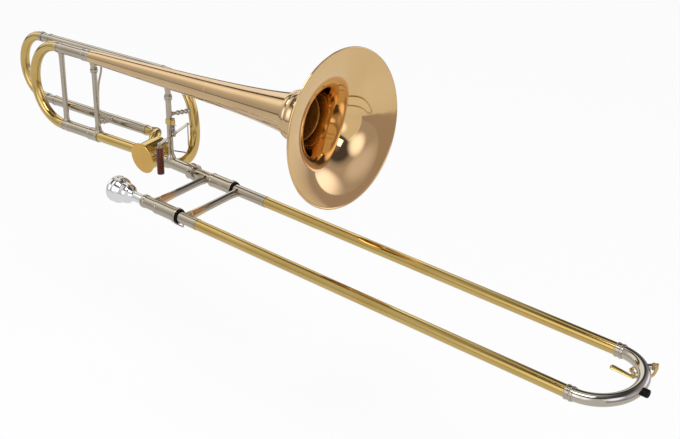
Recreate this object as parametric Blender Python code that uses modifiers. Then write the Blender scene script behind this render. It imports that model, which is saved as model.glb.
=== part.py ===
"""Tenor trombone with an F attachment, in metres with +Z up.

The origin is the centre of the rubber bumper's flat end. +X runs forwards along the hand slide and -Y is
the mouthpiece side. Slide axes: X = 0 lies behind the cork barrels, the far tube runs on Y = 0 and the near
one on Y = -SLIDE_SPACING. Bell axes: a frame on the far tube's line, tilted as the bell section is.
"""

import math

import bmesh
import bpy
from mathutils import Euler, Vector

# Fits
SEAT = 0.0003
RUNNING = 0.0002
TUBE_SIDES = 12
FITTING_SIDES = 16
ROD_SIDES = 12
SMALL_SIDES = 8

# Frames
SLIDE_SPACING = 0.1063
BELL_FRAME_X = -0.120
BELL_ROLL = math.radians(-5.0)
BELL_PITCH = math.radians(-3.37)
BELL_LIFT = 0.1272

# Bell stem and flare
RIM_X = 0.3855
RIM_RADIUS = 0.1068
RIM_BEAD = 0.0013
HORN_WAIST_X = 0.080
HORN_WAIST_RADIUS = 0.0157
HORN_POWER = 0.5476
STEM_REAR_X = -0.124
STEM_REAR_RADIUS = 0.0103
BELL_WALL = 0.0008
BELL_SIDES = 20
RIM_SIDES = 28
BEND_STEPS = 10
STEM_RING_X = 0.2985
STEM_RING_LENGTH = 0.0105
STEM_RING_RADIUS = 0.0349
RING_THREAD_LENGTH = 0.0042
RING_THREAD_WALL = 0.0013
FLARE_RING_FRONT_X = 0.3205
FLARE_RING_RADIUS = 0.0370

# Main tuning slide
LEG_RADIUS = 0.00815
LEG_WALL = 0.0005
SLEEVE_WALL = 0.00045
CROOK_TUBE_RADIUS = 0.0082
CROOK_TUBE_WALL = 0.0006
TUNING_LEG_REAR = -0.206
TUNING_CROOK_X = -0.210
SLEEVE_REAR = -0.195
TUNING_LEG_FRONT = -0.1385
UPPER_FERRULE_REAR = -0.143
LOWER_FERRULE_REAR = -0.141
LOWER_FERRULE_FRONT = -0.119
FERRULE_RADIUS = 0.0098
JOINT_X = -0.1325
TUNING_BRACE_RADIUS = 0.0043
TUNING_BRACE_FOOT = 0.0050
TUNING_BRACE_X = -0.2004

# Neck and gooseneck
NECK_RADIUS = 0.0081
GOOSENECK_RADIUS = 0.0085
NECK_WALL = 0.0006
GOOSENECK_FRONT = -0.0265

# F attachment
F_SIDE_Y = 0.034
F_UPPER_Z = 0.1216
F_LOWER_Z = 0.018
F_TUBE_RADIUS = 0.0077
F_TUBE_WALL = 0.0005
F_SLEEVE_REAR = -0.273
F_LEG_FRONT = -0.205
F_LEG_SHOWN = 0.0195
F_CROOK_END = F_SLEEVE_REAR - F_LEG_SHOWN
F_CROOK_X = F_CROOK_END - 0.0025
F_UPPER_FRONT = 0.0
F_LOWER_FRONT = -0.044
STRUT_RADIUS = 0.0016
FRONT_CROOK_MIDDLE_X = 0.0627

# Rotary valve, on an axis through VALVE_AT that leans as VALVE_LEAN says
VALVE_AT = Vector((0.0027, 0.0, 0.0012))
VALVE_LEAN = math.radians(7.1)
CASING_RADIUS = 0.0215
CASING_WALL = 0.0033
CASING_FRONT = -0.0170
CASING_BACK = 0.0190
COVER_RADIUS = 0.0240
COVER_THICKNESS = 0.0030
ROTOR_BORE = 0.0066
ROTOR_GROOVE_REACH = 0.0210
BEARING_PLATE = 0.0026
BEARING_RADIUS = 0.0060
BEARING_BACK = 0.0275
SHAFT_RADIUS = 0.0030
ARM_THICKNESS = 0.0024
ARM_REACH = 0.0106
ARM_REST_TURN = math.radians(130)
ARM_WIDTH = 0.0050
ARM_TAIL = 0.0080
PIN_RADIUS = 0.0014

# Thumb trigger
TRIGGER_AT = Vector((0.054, 0.0, 0.0))
BRACKET_DROP = 0.0687
BRACKET_Z = BELL_LIFT - BRACKET_DROP
LEVER_DROP = 0.0148
LEVER_Z = BRACKET_Z - LEVER_DROP
LEVER_THICKNESS = 0.0018
LEVER_WIDTH = 0.0044
LEVER_HUB_RADIUS = 0.0032
PIVOT_RADIUS = 0.0012
TRIGGER_CURL_RADIUS = 0.0022
DROP_ROD_AT = Vector((0.0355, 0.0445, 0.0))
DROP_ROD_BOTTOM = -0.0075
DROP_ROD_RADIUS = 0.0010
ROLLER_AT = Vector((0.071, -0.043, 0.0))
ROLLER_RADIUS = 0.00525
ROLLER_LENGTH = 0.0395
ROLLER_TOP = LEVER_Z - 0.0062
ROLLER_BOTTOM = ROLLER_TOP - ROLLER_LENGTH
BRACKET_HEIGHT = 0.0075
LINK_RADIUS = 0.0010
LINK_EYE_BORE = 0.0032
LINK_EYE_SHIFT = 0.00187
LINK_EYE_WALL = 0.0010
LINK_EYE_LENGTH = 0.0024

# Braces of the bell section
MIDDLE_BRACE_X = -0.122
BELL_BRACE_X = 0.0457
BRACE_RADIUS = 0.0042
BRACE_FLANGE = 0.0062
BRACE_FOOT_RADIUS = 0.0072
BRACE_KNOB = 0.0060
MIDDLE_KNOB_DROP = 0.0207
BELL_KNOB_DROP = 0.0287
FRONT_CROSS_DROP = 0.0547
BELL_BRACE_FOOT = 0.0040

# Hand slide
OUTER_TUBE_RADIUS = 0.0076
OUTER_TUBE_WALL = 0.0004
INNER_TUBE_CLEARANCE = 0.0002
INNER_TUBE_WALL = 0.0004
SLEEVE_RADIUS = 0.0079
SLEEVE_BACK = 0.0210
NEAR_SLEEVE_FRONT = 0.0945
FAR_SLEEVE_FRONT = 0.1208
INNER_TUBE_FRONT = 0.676
BOW_X = 0.6843
BOW_BEND_X = 0.6870
BOW_FORWARD = 0.0512
BOW_STEPS = 14
BOW_RADIUS = 0.0076
BOW_WALL = 0.0006
BOW_FERRULE_BACK = 0.6800
BOW_FERRULE_FRONT = 0.6905
BOW_FERRULE_RADIUS = 0.0091
BOW_FERRULE_ROOM = 0.0008
BUMPER_RADIUS = 0.0044
BUMPER_REACH = 0.0065

# Cork barrels, receiver and lock nut
BARREL_RADIUS = 0.0102
BARREL_WALL = 0.0009
BARREL_BACK = 0.0120
BARREL_FRONT = 0.0510
RING_RADIUS = 0.0110
RING_FRONT = 0.0570
BUMPER_RING_LENGTH = 0.0025
BUMPER_RING_RADIUS = 0.0099
RECEIVER_BACK = -0.0150
RECEIVER_RING_RADIUS = 0.0096
RECEIVER_RADIUS = 0.0088
RECEIVER_SEAT = 0.0015
NUT_BACK = -0.0327
NUT_FRONT = -0.0210
NUT_RADIUS = 0.0121
NUT_RIM = 0.0022
TENON_RADIUS = 0.0076
TENON_BACK = -0.0400
SHANK_TUBE_RADIUS = 0.0079
FAR_TUBE_BACK = -0.0194

# Slide braces and lock
INNER_BRACE_X = 0.0030
OUTER_BRACE_X = 0.0675
SLIDE_BRACE_RADIUS = 0.0053
SLIDE_BRACE_FOOT = 0.0068
LOCK_LUG_X = 0.0630
LOCK_LUG_LENGTH = 0.0040
LOCK_LUG_WIDTH = 0.0040
LOCK_LUG_DEPTH = 0.0098
LOCK_HOOK_WIDTH = 0.0022
LOCK_HOOK_LENGTH = 0.0018
LOCK_TURN = math.radians(25)

# Mouthpiece
RIM_BACK = -0.0775
MOUTHPIECE_RIM_RADIUS = 0.0136
MOUTHPIECE_BULGE = 0.0194
CUP_RADIUS = 0.0127
CUP_DEPTH = 0.0240
THROAT_RADIUS = 0.0034
SHANK_RADIUS = 0.0069
SHANK_END_RADIUS = 0.0062

# Water key
KEY_HINGE = Vector((0.7135, -0.0200, -0.0068))
KEY_TURN = math.radians(42)
KEY_ARM_DROP = 0.0035
KEY_FINGER_AT = Vector((-0.0198, 0.0127, -0.0012))
KEY_FINGER_RADIUS = 0.0034
KEY_PAD_RISE = 0.0103
KEY_PAD_RADIUS = 0.0042
KEY_PAD_THICKNESS = 0.0012
KEY_CUP_RADIUS = 0.0047
KEY_CUP_DEPTH = 0.0030
KEY_WIDTH = 0.0040
KEY_THICKNESS = 0.0018
KEY_TOP_RISE = 0.0142
KEY_NOSE_REACH = 0.0088
KEY_PIN_RADIUS = 0.0010
KEY_HUB_RADIUS = 0.0024
KEY_HUB_WIDTH = 0.0024
KEY_EAR_GAP = 0.0104
KEY_EAR_THICKNESS = 0.0014
KEY_CURL_RADIUS = 0.0021
NIPPLE_RADIUS = 0.0032
NIPPLE_REACH = 0.0022
WATER_HOLE_RADIUS = 0.0018

BUMPER_FACE_X = BOW_BEND_X + BOW_FORWARD + BOW_RADIUS + BUMPER_REACH

X = Vector((1, 0, 0))
Y = Vector((0, 1, 0))
Z = Vector((0, 0, 1))


# Scene and looks

def clear_scene():
    for obj in list(bpy.data.objects):
        bpy.data.objects.remove(obj, do_unlink=True)


def collection(name):
    made = bpy.data.collections.new(name)
    bpy.context.scene.collection.children.link(made)
    return made


clear_scene()
PARTS = collection("tenor_trombone")
CUTTERS = collection("cutters")


def look(name, colour, metallic, roughness):
    material = bpy.data.materials.new(name)
    material.use_nodes = True
    shader = material.node_tree.nodes["Principled BSDF"]
    shader.inputs["Base Color"].default_value = (*colour, 1.0)
    shader.inputs["Metallic"].default_value = metallic
    shader.inputs["Roughness"].default_value = roughness
    return material


YELLOW_BRASS = look("yellow_brass", (0.80, 0.58, 0.24), 1.0, 0.18)
ROSE_BRASS = look("rose_brass", (0.78, 0.52, 0.33), 1.0, 0.18)
NICKEL = look("nickel_silver", (0.62, 0.58, 0.53), 1.0, 0.22)
SILVER = look("silver_plate", (0.86, 0.86, 0.86), 1.0, 0.10)
RUBBER = look("black_rubber", (0.02, 0.02, 0.02), 0.0, 0.60)
CORK = look("cork", (0.50, 0.33, 0.18), 0.0, 0.85)
ROSEWOOD = look("rosewood", (0.16, 0.035, 0.015), 0.0, 0.30)
STEEL = look("dark_steel", (0.22, 0.22, 0.23), 1.0, 0.30)


# Shape makers

def frame(name, parent, at=(0, 0, 0), turn=(0, 0, 0)):
    empty = bpy.data.objects.new(name, None)
    PARTS.objects.link(empty)
    empty.empty_display_size = 0.02
    empty.parent = parent
    empty.location = at
    empty.rotation_euler = turn
    return empty


def finish(obj, surface, parent):
    PARTS.objects.link(obj)
    obj.parent = parent
    if obj.data.materials:
        obj.data.materials[0] = surface
    else:
        obj.data.materials.append(surface)
    return obj


def aimed(obj, at, along):
    """Puts the object's own Z on the direction along, with its origin at the point at."""
    obj.location = at
    obj.rotation_mode = "QUATERNION"
    obj.rotation_quaternion = Z.rotation_difference(along)
    return obj


def turned(name, surface, parent, outer, bore=(), at=(0, 0, 0), along=X, sides=TUBE_SIDES):
    """A turned piece. outer and bore are (distance along, radius) pairs from the rear to the front."""
    loop = [(radius, 0, s) for s, radius in reversed(outer)]
    loop += [(radius, 0, s) for s, radius in bore]
    if not bore:
        loop = [(0, 0, outer[-1][0])] + loop + [(0, 0, outer[0][0])]
    edges = [(i, i + 1) for i in range(len(loop) - 1)]
    if bore:
        edges.append((len(loop) - 1, 0))
    mesh = bpy.data.meshes.new(name)
    mesh.from_pydata(loop, edges, [])
    obj = finish(bpy.data.objects.new(name, mesh), surface, parent)
    screw = obj.modifiers.new("turn", "SCREW")
    screw.steps = sides
    screw.render_steps = sides
    screw.use_smooth_shade = True
    screw.use_merge_vertices = True
    screw.merge_threshold = 1e-5
    return aimed(obj, at, along)


def pipe(name, surface, parent, rear, front, radius, wall, **place):
    """A straight open tube."""
    outer = [(rear, radius), (front, radius)]
    bore = [(rear, radius - wall), (front, radius - wall)]
    return turned(name, surface, parent, outer, bore, **place)


def arc(centre, across, up, start, end, steps):
    """Points about centre from start to end in degrees, where across and up are the half axes as vectors."""
    turns = [math.radians(start + (end - start) * i / steps) for i in range(steps + 1)]
    return [centre + math.cos(t) * across + math.sin(t) * up for t in turns]


def path(name, points, radius, sides):
    """A round bevelled curve, straight from point to point."""
    curve = bpy.data.curves.new(name, "CURVE")
    curve.dimensions = "3D"
    curve.bevel_depth = radius
    curve.bevel_resolution = (sides - 4) // 2
    spline = curve.splines.new("POLY")
    spline.points.add(len(points) - 1)
    for knot, point in zip(spline.points, points):
        knot.co = (*point, 1)
    return bpy.data.objects.new(name, curve)


def bent_tube(name, surface, parent, points, radius, wall, sides=TUBE_SIDES):
    """A bent open tube: an open skin along the points, made solid inwards."""
    obj = finish(path(name, points, radius, sides), surface, parent)
    obj.data.use_fill_caps = False
    shell = obj.modifiers.new("wall", "SOLIDIFY")
    shell.thickness = wall
    shell.offset = -1
    shell.use_even_offset = True
    return obj


def rod(name, surface, parent, points, radius, sides=SMALL_SIDES):
    """A solid bent rod or wire."""
    obj = finish(path(name, points, radius, sides), surface, parent)
    obj.data.use_fill_caps = True
    return obj


def as_mesh(obj):
    """The same object as an evaluated mesh with its caps welded, in the same place."""
    bpy.context.view_layer.update()
    evaluated = obj.evaluated_get(bpy.context.evaluated_depsgraph_get())
    mesh = bpy.data.meshes.new_from_object(evaluated)
    solid = bmesh.new()
    solid.from_mesh(mesh)
    bmesh.ops.remove_doubles(solid, verts=solid.verts, dist=1e-6)
    bmesh.ops.recalc_face_normals(solid, faces=solid.faces)
    solid.to_mesh(mesh)
    solid.free()
    name = obj.name
    home = obj.users_collection[0]
    made = bpy.data.objects.new(name, mesh)
    home.objects.link(made)
    made.parent = obj.parent
    made.matrix_world = obj.matrix_world.copy()
    bpy.data.objects.remove(obj, do_unlink=True)
    made.name = name
    return made


def as_cutter(obj):
    for home in list(obj.users_collection):
        home.objects.unlink(obj)
    CUTTERS.objects.link(obj)
    obj.hide_render = True
    obj.display_type = "WIRE"
    return obj


def bar_cutter(name, parent, at, along, radius, length, sides=24):
    """A round cutter centred at the point at."""
    shape = bmesh.new()
    bmesh.ops.create_cone(shape, cap_ends=True, segments=sides, radius1=radius, radius2=radius, depth=length)
    mesh = bpy.data.meshes.new(name)
    shape.to_mesh(mesh)
    shape.free()
    obj = bpy.data.objects.new(name, mesh)
    PARTS.objects.link(obj)
    obj.parent = parent
    return as_cutter(aimed(obj, at, along))


def box(name, surface, parent, low, high):
    """A box between two corners, with its origin at its middle."""
    low = Vector(low)
    high = Vector(high)
    shape = bmesh.new()
    bmesh.ops.create_cube(shape, size=1)
    bmesh.ops.scale(shape, vec=high - low, verts=shape.verts)
    mesh = bpy.data.meshes.new(name)
    shape.to_mesh(mesh)
    shape.free()
    obj = finish(bpy.data.objects.new(name, mesh), surface, parent)
    obj.location = (low + high) / 2
    return obj


def strap(name, surface, parent, start, end, width, thickness):
    """A flat bar from one point to another, its flat side up."""
    way = end - start
    bar = box(name, surface, parent, (0, 0, 0), (way.length, width, thickness))
    bar.location = (start + end) / 2
    bar.rotation_mode = "QUATERNION"
    bar.rotation_quaternion = way.to_track_quat("X", "Z")
    return bar


def boolean(piece, other, operation="DIFFERENCE"):
    change = piece.modifiers.new(operation.lower(), "BOOLEAN")
    change.operation = operation
    change.solver = "EXACT"
    change.object = other
    return piece


def joined(piece, *others):
    """Unions the other shapes into the piece; they are kept as hidden tools."""
    for other in others:
        boolean(piece, as_cutter(other), "UNION")
    return piece


# Shared shapes

def horn_radius(x):
    """Outer radius of the bell at a place on its axis: a cone behind the waist, a horn curve before it."""
    if x < HORN_WAIST_X:
        share = (x - STEM_REAR_X) / (HORN_WAIST_X - STEM_REAR_X)
        return STEM_REAR_RADIUS + share * (HORN_WAIST_RADIUS - STEM_REAR_RADIUS)
    shrink = (HORN_WAIST_RADIUS / RIM_RADIUS) ** (1 / HORN_POWER)
    pole = (RIM_X - HORN_WAIST_X * shrink) / (1 - shrink)
    return HORN_WAIST_RADIUS * ((pole - HORN_WAIST_X) / (pole - x)) ** HORN_POWER


def horn_slope(x):
    step = 1e-5
    return (horn_radius(x) - horn_radius(x - step)) / step


def horn_inside(x):
    """The bore's (distance, radius) across the wall from the outer skin at x."""
    slope = horn_slope(x)
    tilt = math.hypot(1, slope)
    return (x + BELL_WALL * slope / tilt, horn_radius(x) - BELL_WALL / tilt)


def horn_places(rear, front, count):
    """Places along the horn, packed towards the rim as the curve steepens."""
    bottom = horn_radius(rear)
    top = horn_radius(front)
    places = []
    for i in range(count + 1):
        wanted = bottom * (top / bottom) ** (i / count)
        low = rear
        high = front
        for _ in range(40):
            middle = (low + high) / 2
            if horn_radius(middle) < wanted:
                low = middle
            else:
                high = middle
        places.append((low + high) / 2)
    return places


def brace_profile(length, rear_flange, front_flange, knob_at=None, radius=BRACE_RADIUS):
    """A brace's outline: a flare at each end, a slim rod between and a ribbed knob if it has one."""
    reach = 0.018
    outline = [(0, rear_flange), (0.0105, rear_flange), (reach, radius)]
    if knob_at is not None:
        beads = ((-0.0044, 0), (-0.0036, 0.7), (-0.0012, 1), (0.0012, 1), (0.0036, 0.7), (0.0044, 0))
        for offset, grow in beads:
            outline.append((knob_at + offset, radius + grow * (BRACE_KNOB - radius)))
    outline += [(length - reach, radius), (length - 0.0105, front_flange), (length, front_flange)]
    return outline


def fancy_brace(name, surface, parent, start, end, radius=0.0026):
    """A short turned brace with three beads, from one tube's middle to another's."""
    length = (end - start).length
    outline = [(0, radius)]
    for share in (0.36, 0.52, 0.68):
        for offset, size in ((-0.0022, radius), (0, radius * 1.5), (0.0022, radius)):
            outline.append((share * length + offset, size))
    outline.append((length, radius))
    return turned(name, surface, parent, outline, at=start, along=(end - start).normalized(),
                  sides=SMALL_SIDES)


def coil(centre, axis, start, radius, wire, pitch, turns, tail_in, tail_out):
    """Points of a spring's curls about the axis, with a straight leg at each end; prints its least gap."""
    side = start.normalized()
    up = axis.cross(side)
    count = 8
    points = []
    for i in range(int(turns * count) + 1):
        t = 2 * math.pi * i / count
        points.append(centre + axis * (pitch * i / count) + radius * (math.cos(t) * side + math.sin(t) * up))
    gaps = []
    for i in range(len(points)):
        for j in range(i + count // 2 + 1, len(points)):
            gaps.append((points[i] - points[j]).length - 2 * wire)
    print(f"least gap between curls: {min(gaps) * 1000:.2f} mm")
    return [points[0] + tail_in] + points + [points[-1] + tail_out]


# Frames of the slide, the bell section and each moving piece

slide = frame("slide_axes", None, (-BUMPER_FACE_X, SLIDE_SPACING / 2, 0))
bell = frame("bell_axes", slide, (BELL_FRAME_X, 0, 0), (BELL_ROLL, BELL_PITCH, 0))
near = Vector((0, -SLIDE_SPACING, 0))
far = Vector((0, 0, 0))
stem_line = Vector((0, 0, BELL_LIFT))
f_upper = Vector((0, F_SIDE_Y, F_UPPER_Z))
f_lower = Vector((0, F_SIDE_Y, F_LOWER_Z))


# Bell: stem, screw rings and flare

def build_bell():
    ring_front = STEM_RING_X + STEM_RING_LENGTH
    thread_front = ring_front + RING_THREAD_LENGTH
    stem_front = thread_front - SEAT
    spigot = NECK_RADIUS + 0.0007
    places = [STEM_REAR_X + SEAT] + horn_places(HORN_WAIST_X, STEM_RING_X, 5) + [ring_front, stem_front]
    outer = [(JOINT_X, spigot), (STEM_REAR_X + SEAT, spigot)] + [(x, horn_radius(x)) for x in places]
    bore = [(JOINT_X, spigot - BELL_WALL), (STEM_REAR_X + SEAT, spigot - BELL_WALL)]
    bore += [(x, horn_radius(x) - BELL_WALL * 1.1) for x in places[1:]]
    turned("bell_stem", ROSE_BRASS, bell, outer, bore, at=stem_line, sides=BELL_SIDES)

    thread_radius = horn_radius(thread_front) + SEAT + RING_THREAD_WALL
    outer = [
        (STEM_RING_X, STEM_RING_RADIUS - 0.0014),
        (STEM_RING_X + 0.0015, STEM_RING_RADIUS),
        (ring_front - 0.0010, STEM_RING_RADIUS),
        (ring_front, STEM_RING_RADIUS - 0.0006),
        (ring_front, thread_radius),
        (thread_front, thread_radius),
    ]
    bore = [(x, horn_radius(x) + SEAT) for x in (STEM_RING_X, ring_front, thread_front)]
    turned("stem_ring", ROSE_BRASS, bell, outer, bore, at=stem_line, sides=BELL_SIDES)

    ring_back = ring_front + SEAT
    outer = [
        (ring_back, FLARE_RING_RADIUS - 0.0012),
        (ring_back + 0.0012, FLARE_RING_RADIUS),
        (FLARE_RING_FRONT_X - 0.0030, FLARE_RING_RADIUS),
        (FLARE_RING_FRONT_X, FLARE_RING_RADIUS - 0.0015),
    ]
    bore = [
        (ring_back, thread_radius + SEAT),
        (thread_front + SEAT, thread_radius + SEAT),
        (thread_front + SEAT, horn_radius(thread_front + SEAT) + SEAT),
        (FLARE_RING_FRONT_X, horn_radius(FLARE_RING_FRONT_X) + SEAT),
    ]
    turned("flare_ring", ROSE_BRASS, bell_flare_axis, outer, bore, sides=RIM_SIDES)

    places = [thread_front + SEAT] + horn_places(FLARE_RING_FRONT_X, RIM_X, 8)
    outer = [(x, horn_radius(x)) for x in places]
    bead = [
        (RIM_X + RIM_BEAD * math.sin(t), RIM_RADIUS + RIM_BEAD * math.cos(t))
        for t in [math.radians(a) for a in (-60, 0, 60, 120)]
    ]
    bore = [horn_inside(x) for x in places]
    turned("bell_flare", ROSE_BRASS, bell_flare_axis, outer[:-1] + bead, bore[:-1], sides=RIM_SIDES)


# Main tuning slide: fixed sleeves, moving legs, brace and crook

def build_tuning_slide():
    leg_bore = LEG_RADIUS + RUNNING
    sleeve_radius = leg_bore + SLEEVE_WALL
    pipe("upper_tuning_sleeve", NICKEL, bell, SLEEVE_REAR, JOINT_X - SEAT, sleeve_radius, SLEEVE_WALL,
         at=stem_line)
    pipe("lower_tuning_sleeve", NICKEL, bell, SLEEVE_REAR, JOINT_X - SEAT, sleeve_radius, SLEEVE_WALL)
    bead = 0.0007
    for name, line, rear, front in (
        ("bell_ferrule", stem_line, UPPER_FERRULE_REAR, STEM_REAR_X),
        ("neck_ferrule", far, LOWER_FERRULE_REAR, LOWER_FERRULE_FRONT),
    ):
        outer = [
            (rear, FERRULE_RADIUS - bead),
            (rear + bead, FERRULE_RADIUS),
            (front - bead, FERRULE_RADIUS),
            (front, FERRULE_RADIUS - bead),
        ]
        spigot = NECK_RADIUS + (0.0007 if line is stem_line else 0)
        bore = [
            (rear, sleeve_radius + RUNNING),
            (JOINT_X, sleeve_radius + RUNNING),
            (JOINT_X, spigot + RUNNING),
            (front, spigot + RUNNING),
        ]
        turned(name, NICKEL, bell, outer, bore, at=line, sides=FITTING_SIDES)

    middle = BELL_LIFT / 2
    for name, height in (("upper_tuning_leg", middle), ("lower_tuning_leg", -middle)):
        pipe(name, NICKEL, tuning_slide, TUNING_LEG_REAR, TUNING_LEG_FRONT, LEG_RADIUS, LEG_WALL,
             at=Vector((0, 0, height)))
    centre = Vector((TUNING_CROOK_X, 0, 0))
    ends = TUNING_LEG_REAR - SEAT - TUNING_CROOK_X
    bend = arc(centre, middle * X, middle * Z, 90, 270, BEND_STEPS)
    points = [bend[0] + ends * X] + bend + [bend[-1] + ends * X]
    bent_tube("tuning_crook", YELLOW_BRASS, tuning_slide, points, CROOK_TUBE_RADIUS, CROOK_TUBE_WALL)
    bottom = Vector((TUNING_BRACE_X, 0, -middle))
    brace = turned("tuning_brace", NICKEL, tuning_slide,
                   [(0, TUNING_BRACE_FOOT), (0.012, TUNING_BRACE_FOOT), (0.020, TUNING_BRACE_RADIUS),
                    (BELL_LIFT - 0.020, TUNING_BRACE_RADIUS), (BELL_LIFT - 0.012, TUNING_BRACE_FOOT),
                    (BELL_LIFT, TUNING_BRACE_FOOT)],
                   at=bottom, along=Z, sides=ROD_SIDES)
    for name, height in (("upper", middle), ("lower", -middle)):
        cutter = bar_cutter(f"tuning_leg_seat_{name}", tuning_slide, (TUNING_BRACE_X, 0, height), X,
                            LEG_RADIUS + SEAT, 0.03)
        boolean(brace, cutter)


# Rotary valve

def in_valve(reach, turn, along):
    """A point in the valve's own axes: reach from its line, turned from forwards to down, along it."""
    return Vector((reach * math.cos(turn), reach * math.sin(turn), along))


def valve_to_bell(point):
    spun = point.copy()
    spun.rotate(VALVE_TURN)
    return VALVE_AT + spun


def build_valve(elbow_points, drop_points):
    bore = CASING_RADIUS - CASING_WALL
    shaft_hole = SHAFT_RADIUS + RUNNING
    floor = CASING_BACK - BEARING_PLATE
    casing = turned("valve_casing", YELLOW_BRASS, valve,
                    [(CASING_FRONT, CASING_RADIUS), (CASING_BACK, CASING_RADIUS),
                     (CASING_BACK, BEARING_RADIUS), (BEARING_BACK, BEARING_RADIUS)],
                    [(CASING_FRONT, bore), (floor, bore), (floor, shaft_hole), (BEARING_BACK, shaft_hole)],
                    along=Z, sides=BELL_SIDES)
    cover_back = CASING_FRONT - SEAT
    turned("valve_cover", YELLOW_BRASS, valve,
           [(cover_back - COVER_THICKNESS, COVER_RADIUS - 0.0012),
            (cover_back - COVER_THICKNESS + 0.0010, COVER_RADIUS),
            (cover_back, COVER_RADIUS)], along=Z, sides=RIM_SIDES)
    through = bar_cutter("neck_port", bell, (0, 0, 0), X, NECK_RADIUS + SEAT, 0.060)
    through.location = (-0.030, 0, 0)
    forward = bar_cutter("gooseneck_port", slide, (BELL_FRAME_X + 0.030, 0, 0), X,
                         GOOSENECK_RADIUS + SEAT, 0.060)
    for name, points in (("elbow_port", elbow_points), ("drop_port", drop_points)):
        obj = finish(path(name, points, F_TUBE_RADIUS + SEAT, TUBE_SIDES), YELLOW_BRASS, bell)
        obj.data.use_fill_caps = True
        port = as_cutter(as_mesh(obj))
        boolean(casing, port)
    boolean(casing, through)
    boolean(casing, forward)

    rotor_radius = bore * math.cos(math.pi / BELL_SIDES) - RUNNING
    rotor_front = CASING_FRONT + SEAT
    rotor_back = floor - SEAT
    shaft_back = BEARING_BACK + SEAT + ARM_THICKNESS + 0.0012
    rotor = turned("valve_rotor", YELLOW_BRASS, valve,
                   [(rotor_front, rotor_radius), (rotor_back, rotor_radius), (rotor_back, SHAFT_RADIUS),
                    (shaft_back, SHAFT_RADIUS)], along=Z, sides=BELL_SIDES)
    boolean(rotor, bar_cutter("rotor_bore", valve, (0, 0, 0), X, ROTOR_BORE, 0.060, 20))
    for name, turn in (("rotor_groove_a", -60), ("rotor_groove_b", 120)):
        turn = math.radians(turn)
        across = Vector((-math.sin(turn), math.cos(turn), 0))
        groove = bar_cutter(name, valve, in_valve(ROTOR_GROOVE_REACH, turn, 0.004), across,
                            ROTOR_BORE, 0.060, 20)
        boolean(rotor, groove)

    arm_back = BEARING_BACK + SEAT
    arm = turned("rotor_arm", YELLOW_BRASS, valve,
                 [(arm_back, 0.0052), (arm_back + ARM_THICKNESS, 0.0052)],
                 [(arm_back, SHAFT_RADIUS + RUNNING), (arm_back + ARM_THICKNESS, SHAFT_RADIUS + RUNNING)],
                 along=Z, sides=ROD_SIDES)
    for name, start, end in (("arm_web", 0.0042, ARM_REACH), ("arm_tail", -0.0042, -ARM_TAIL)):
        web = box(name, YELLOW_BRASS, valve, (min(start, end), -ARM_WIDTH / 2, 0),
                  (max(start, end), ARM_WIDTH / 2, ARM_THICKNESS * 0.98))
        web.location = in_valve((start + end) / 2, ARM_REST_TURN, arm_back + ARM_THICKNESS / 2)
        web.rotation_euler = (0, 0, ARM_REST_TURN)
        joined(arm, web)
    tip = turned("arm_tip", YELLOW_BRASS, valve,
                 [(arm_back, ARM_WIDTH / 2), (arm_back + ARM_THICKNESS, ARM_WIDTH / 2),
                  (arm_back + ARM_THICKNESS, PIN_RADIUS),
                  (arm_back + ARM_THICKNESS + 2 * SEAT + LINK_EYE_LENGTH, PIN_RADIUS)],
                 at=in_valve(ARM_REACH, ARM_REST_TURN, 0), along=Z, sides=ROD_SIDES)
    joined(arm, tip)


# F attachment

def build_f_attachment(elbow_points, drop_points):
    leg = F_TUBE_RADIUS - F_TUBE_WALL - RUNNING
    pipe("f_upper_tube", NICKEL, bell, F_SLEEVE_REAR, F_UPPER_FRONT - SEAT, F_TUBE_RADIUS, F_TUBE_WALL,
         at=f_upper)
    pipe("f_lower_tube", NICKEL, bell, F_SLEEVE_REAR, F_LOWER_FRONT - SEAT, F_TUBE_RADIUS, F_TUBE_WALL,
         at=f_lower)
    clear = bar_cutter("rotor_space", valve, (0, 0, 0), Z, CASING_RADIUS - CASING_WALL + SEAT, 0.2,
                       BELL_SIDES)
    for name, points in (("f_elbow", elbow_points), ("f_front_crook", drop_points)):
        tube = bent_tube(name, YELLOW_BRASS, bell, points, F_TUBE_RADIUS, F_TUBE_WALL)
        boolean(as_mesh(tube), clear)
    radius = (F_UPPER_Z - F_LOWER_Z) / 2
    for name, height in (("f_upper_leg", radius), ("f_lower_leg", -radius)):
        pipe(name, NICKEL, f_slide, F_CROOK_X, F_LEG_FRONT, leg, F_TUBE_WALL, at=Vector((0, 0, height)))
    bend = arc(Vector((F_CROOK_X, 0, 0)), radius * X, radius * Z, 90, 270, BEND_STEPS)
    ends = F_CROOK_END - F_CROOK_X
    points = [bend[0] + ends * X] + bend + [bend[-1] + ends * X]
    bent_tube("f_rear_crook", YELLOW_BRASS, f_slide, points, F_TUBE_RADIUS, F_TUBE_WALL, FITTING_SIDES)
    half_strut = F_TUBE_RADIUS + SEAT
    rod("f_strut", NICKEL, bell, [
        Vector((-0.1450, F_SIDE_Y, F_UPPER_Z - half_strut)),
        Vector((-0.1462, F_SIDE_Y, 0.1050)),
        Vector((-0.1490, F_SIDE_Y, 0.0900)),
        Vector((-0.1565, F_SIDE_Y, 0.0700)),
        Vector((-0.1598, F_SIDE_Y, 0.0500)),
        Vector((-0.1615, F_SIDE_Y, F_LOWER_Z + half_strut)),
    ], STRUT_RADIUS, 8)


# Neck, gooseneck and the braces of the bell section

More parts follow.
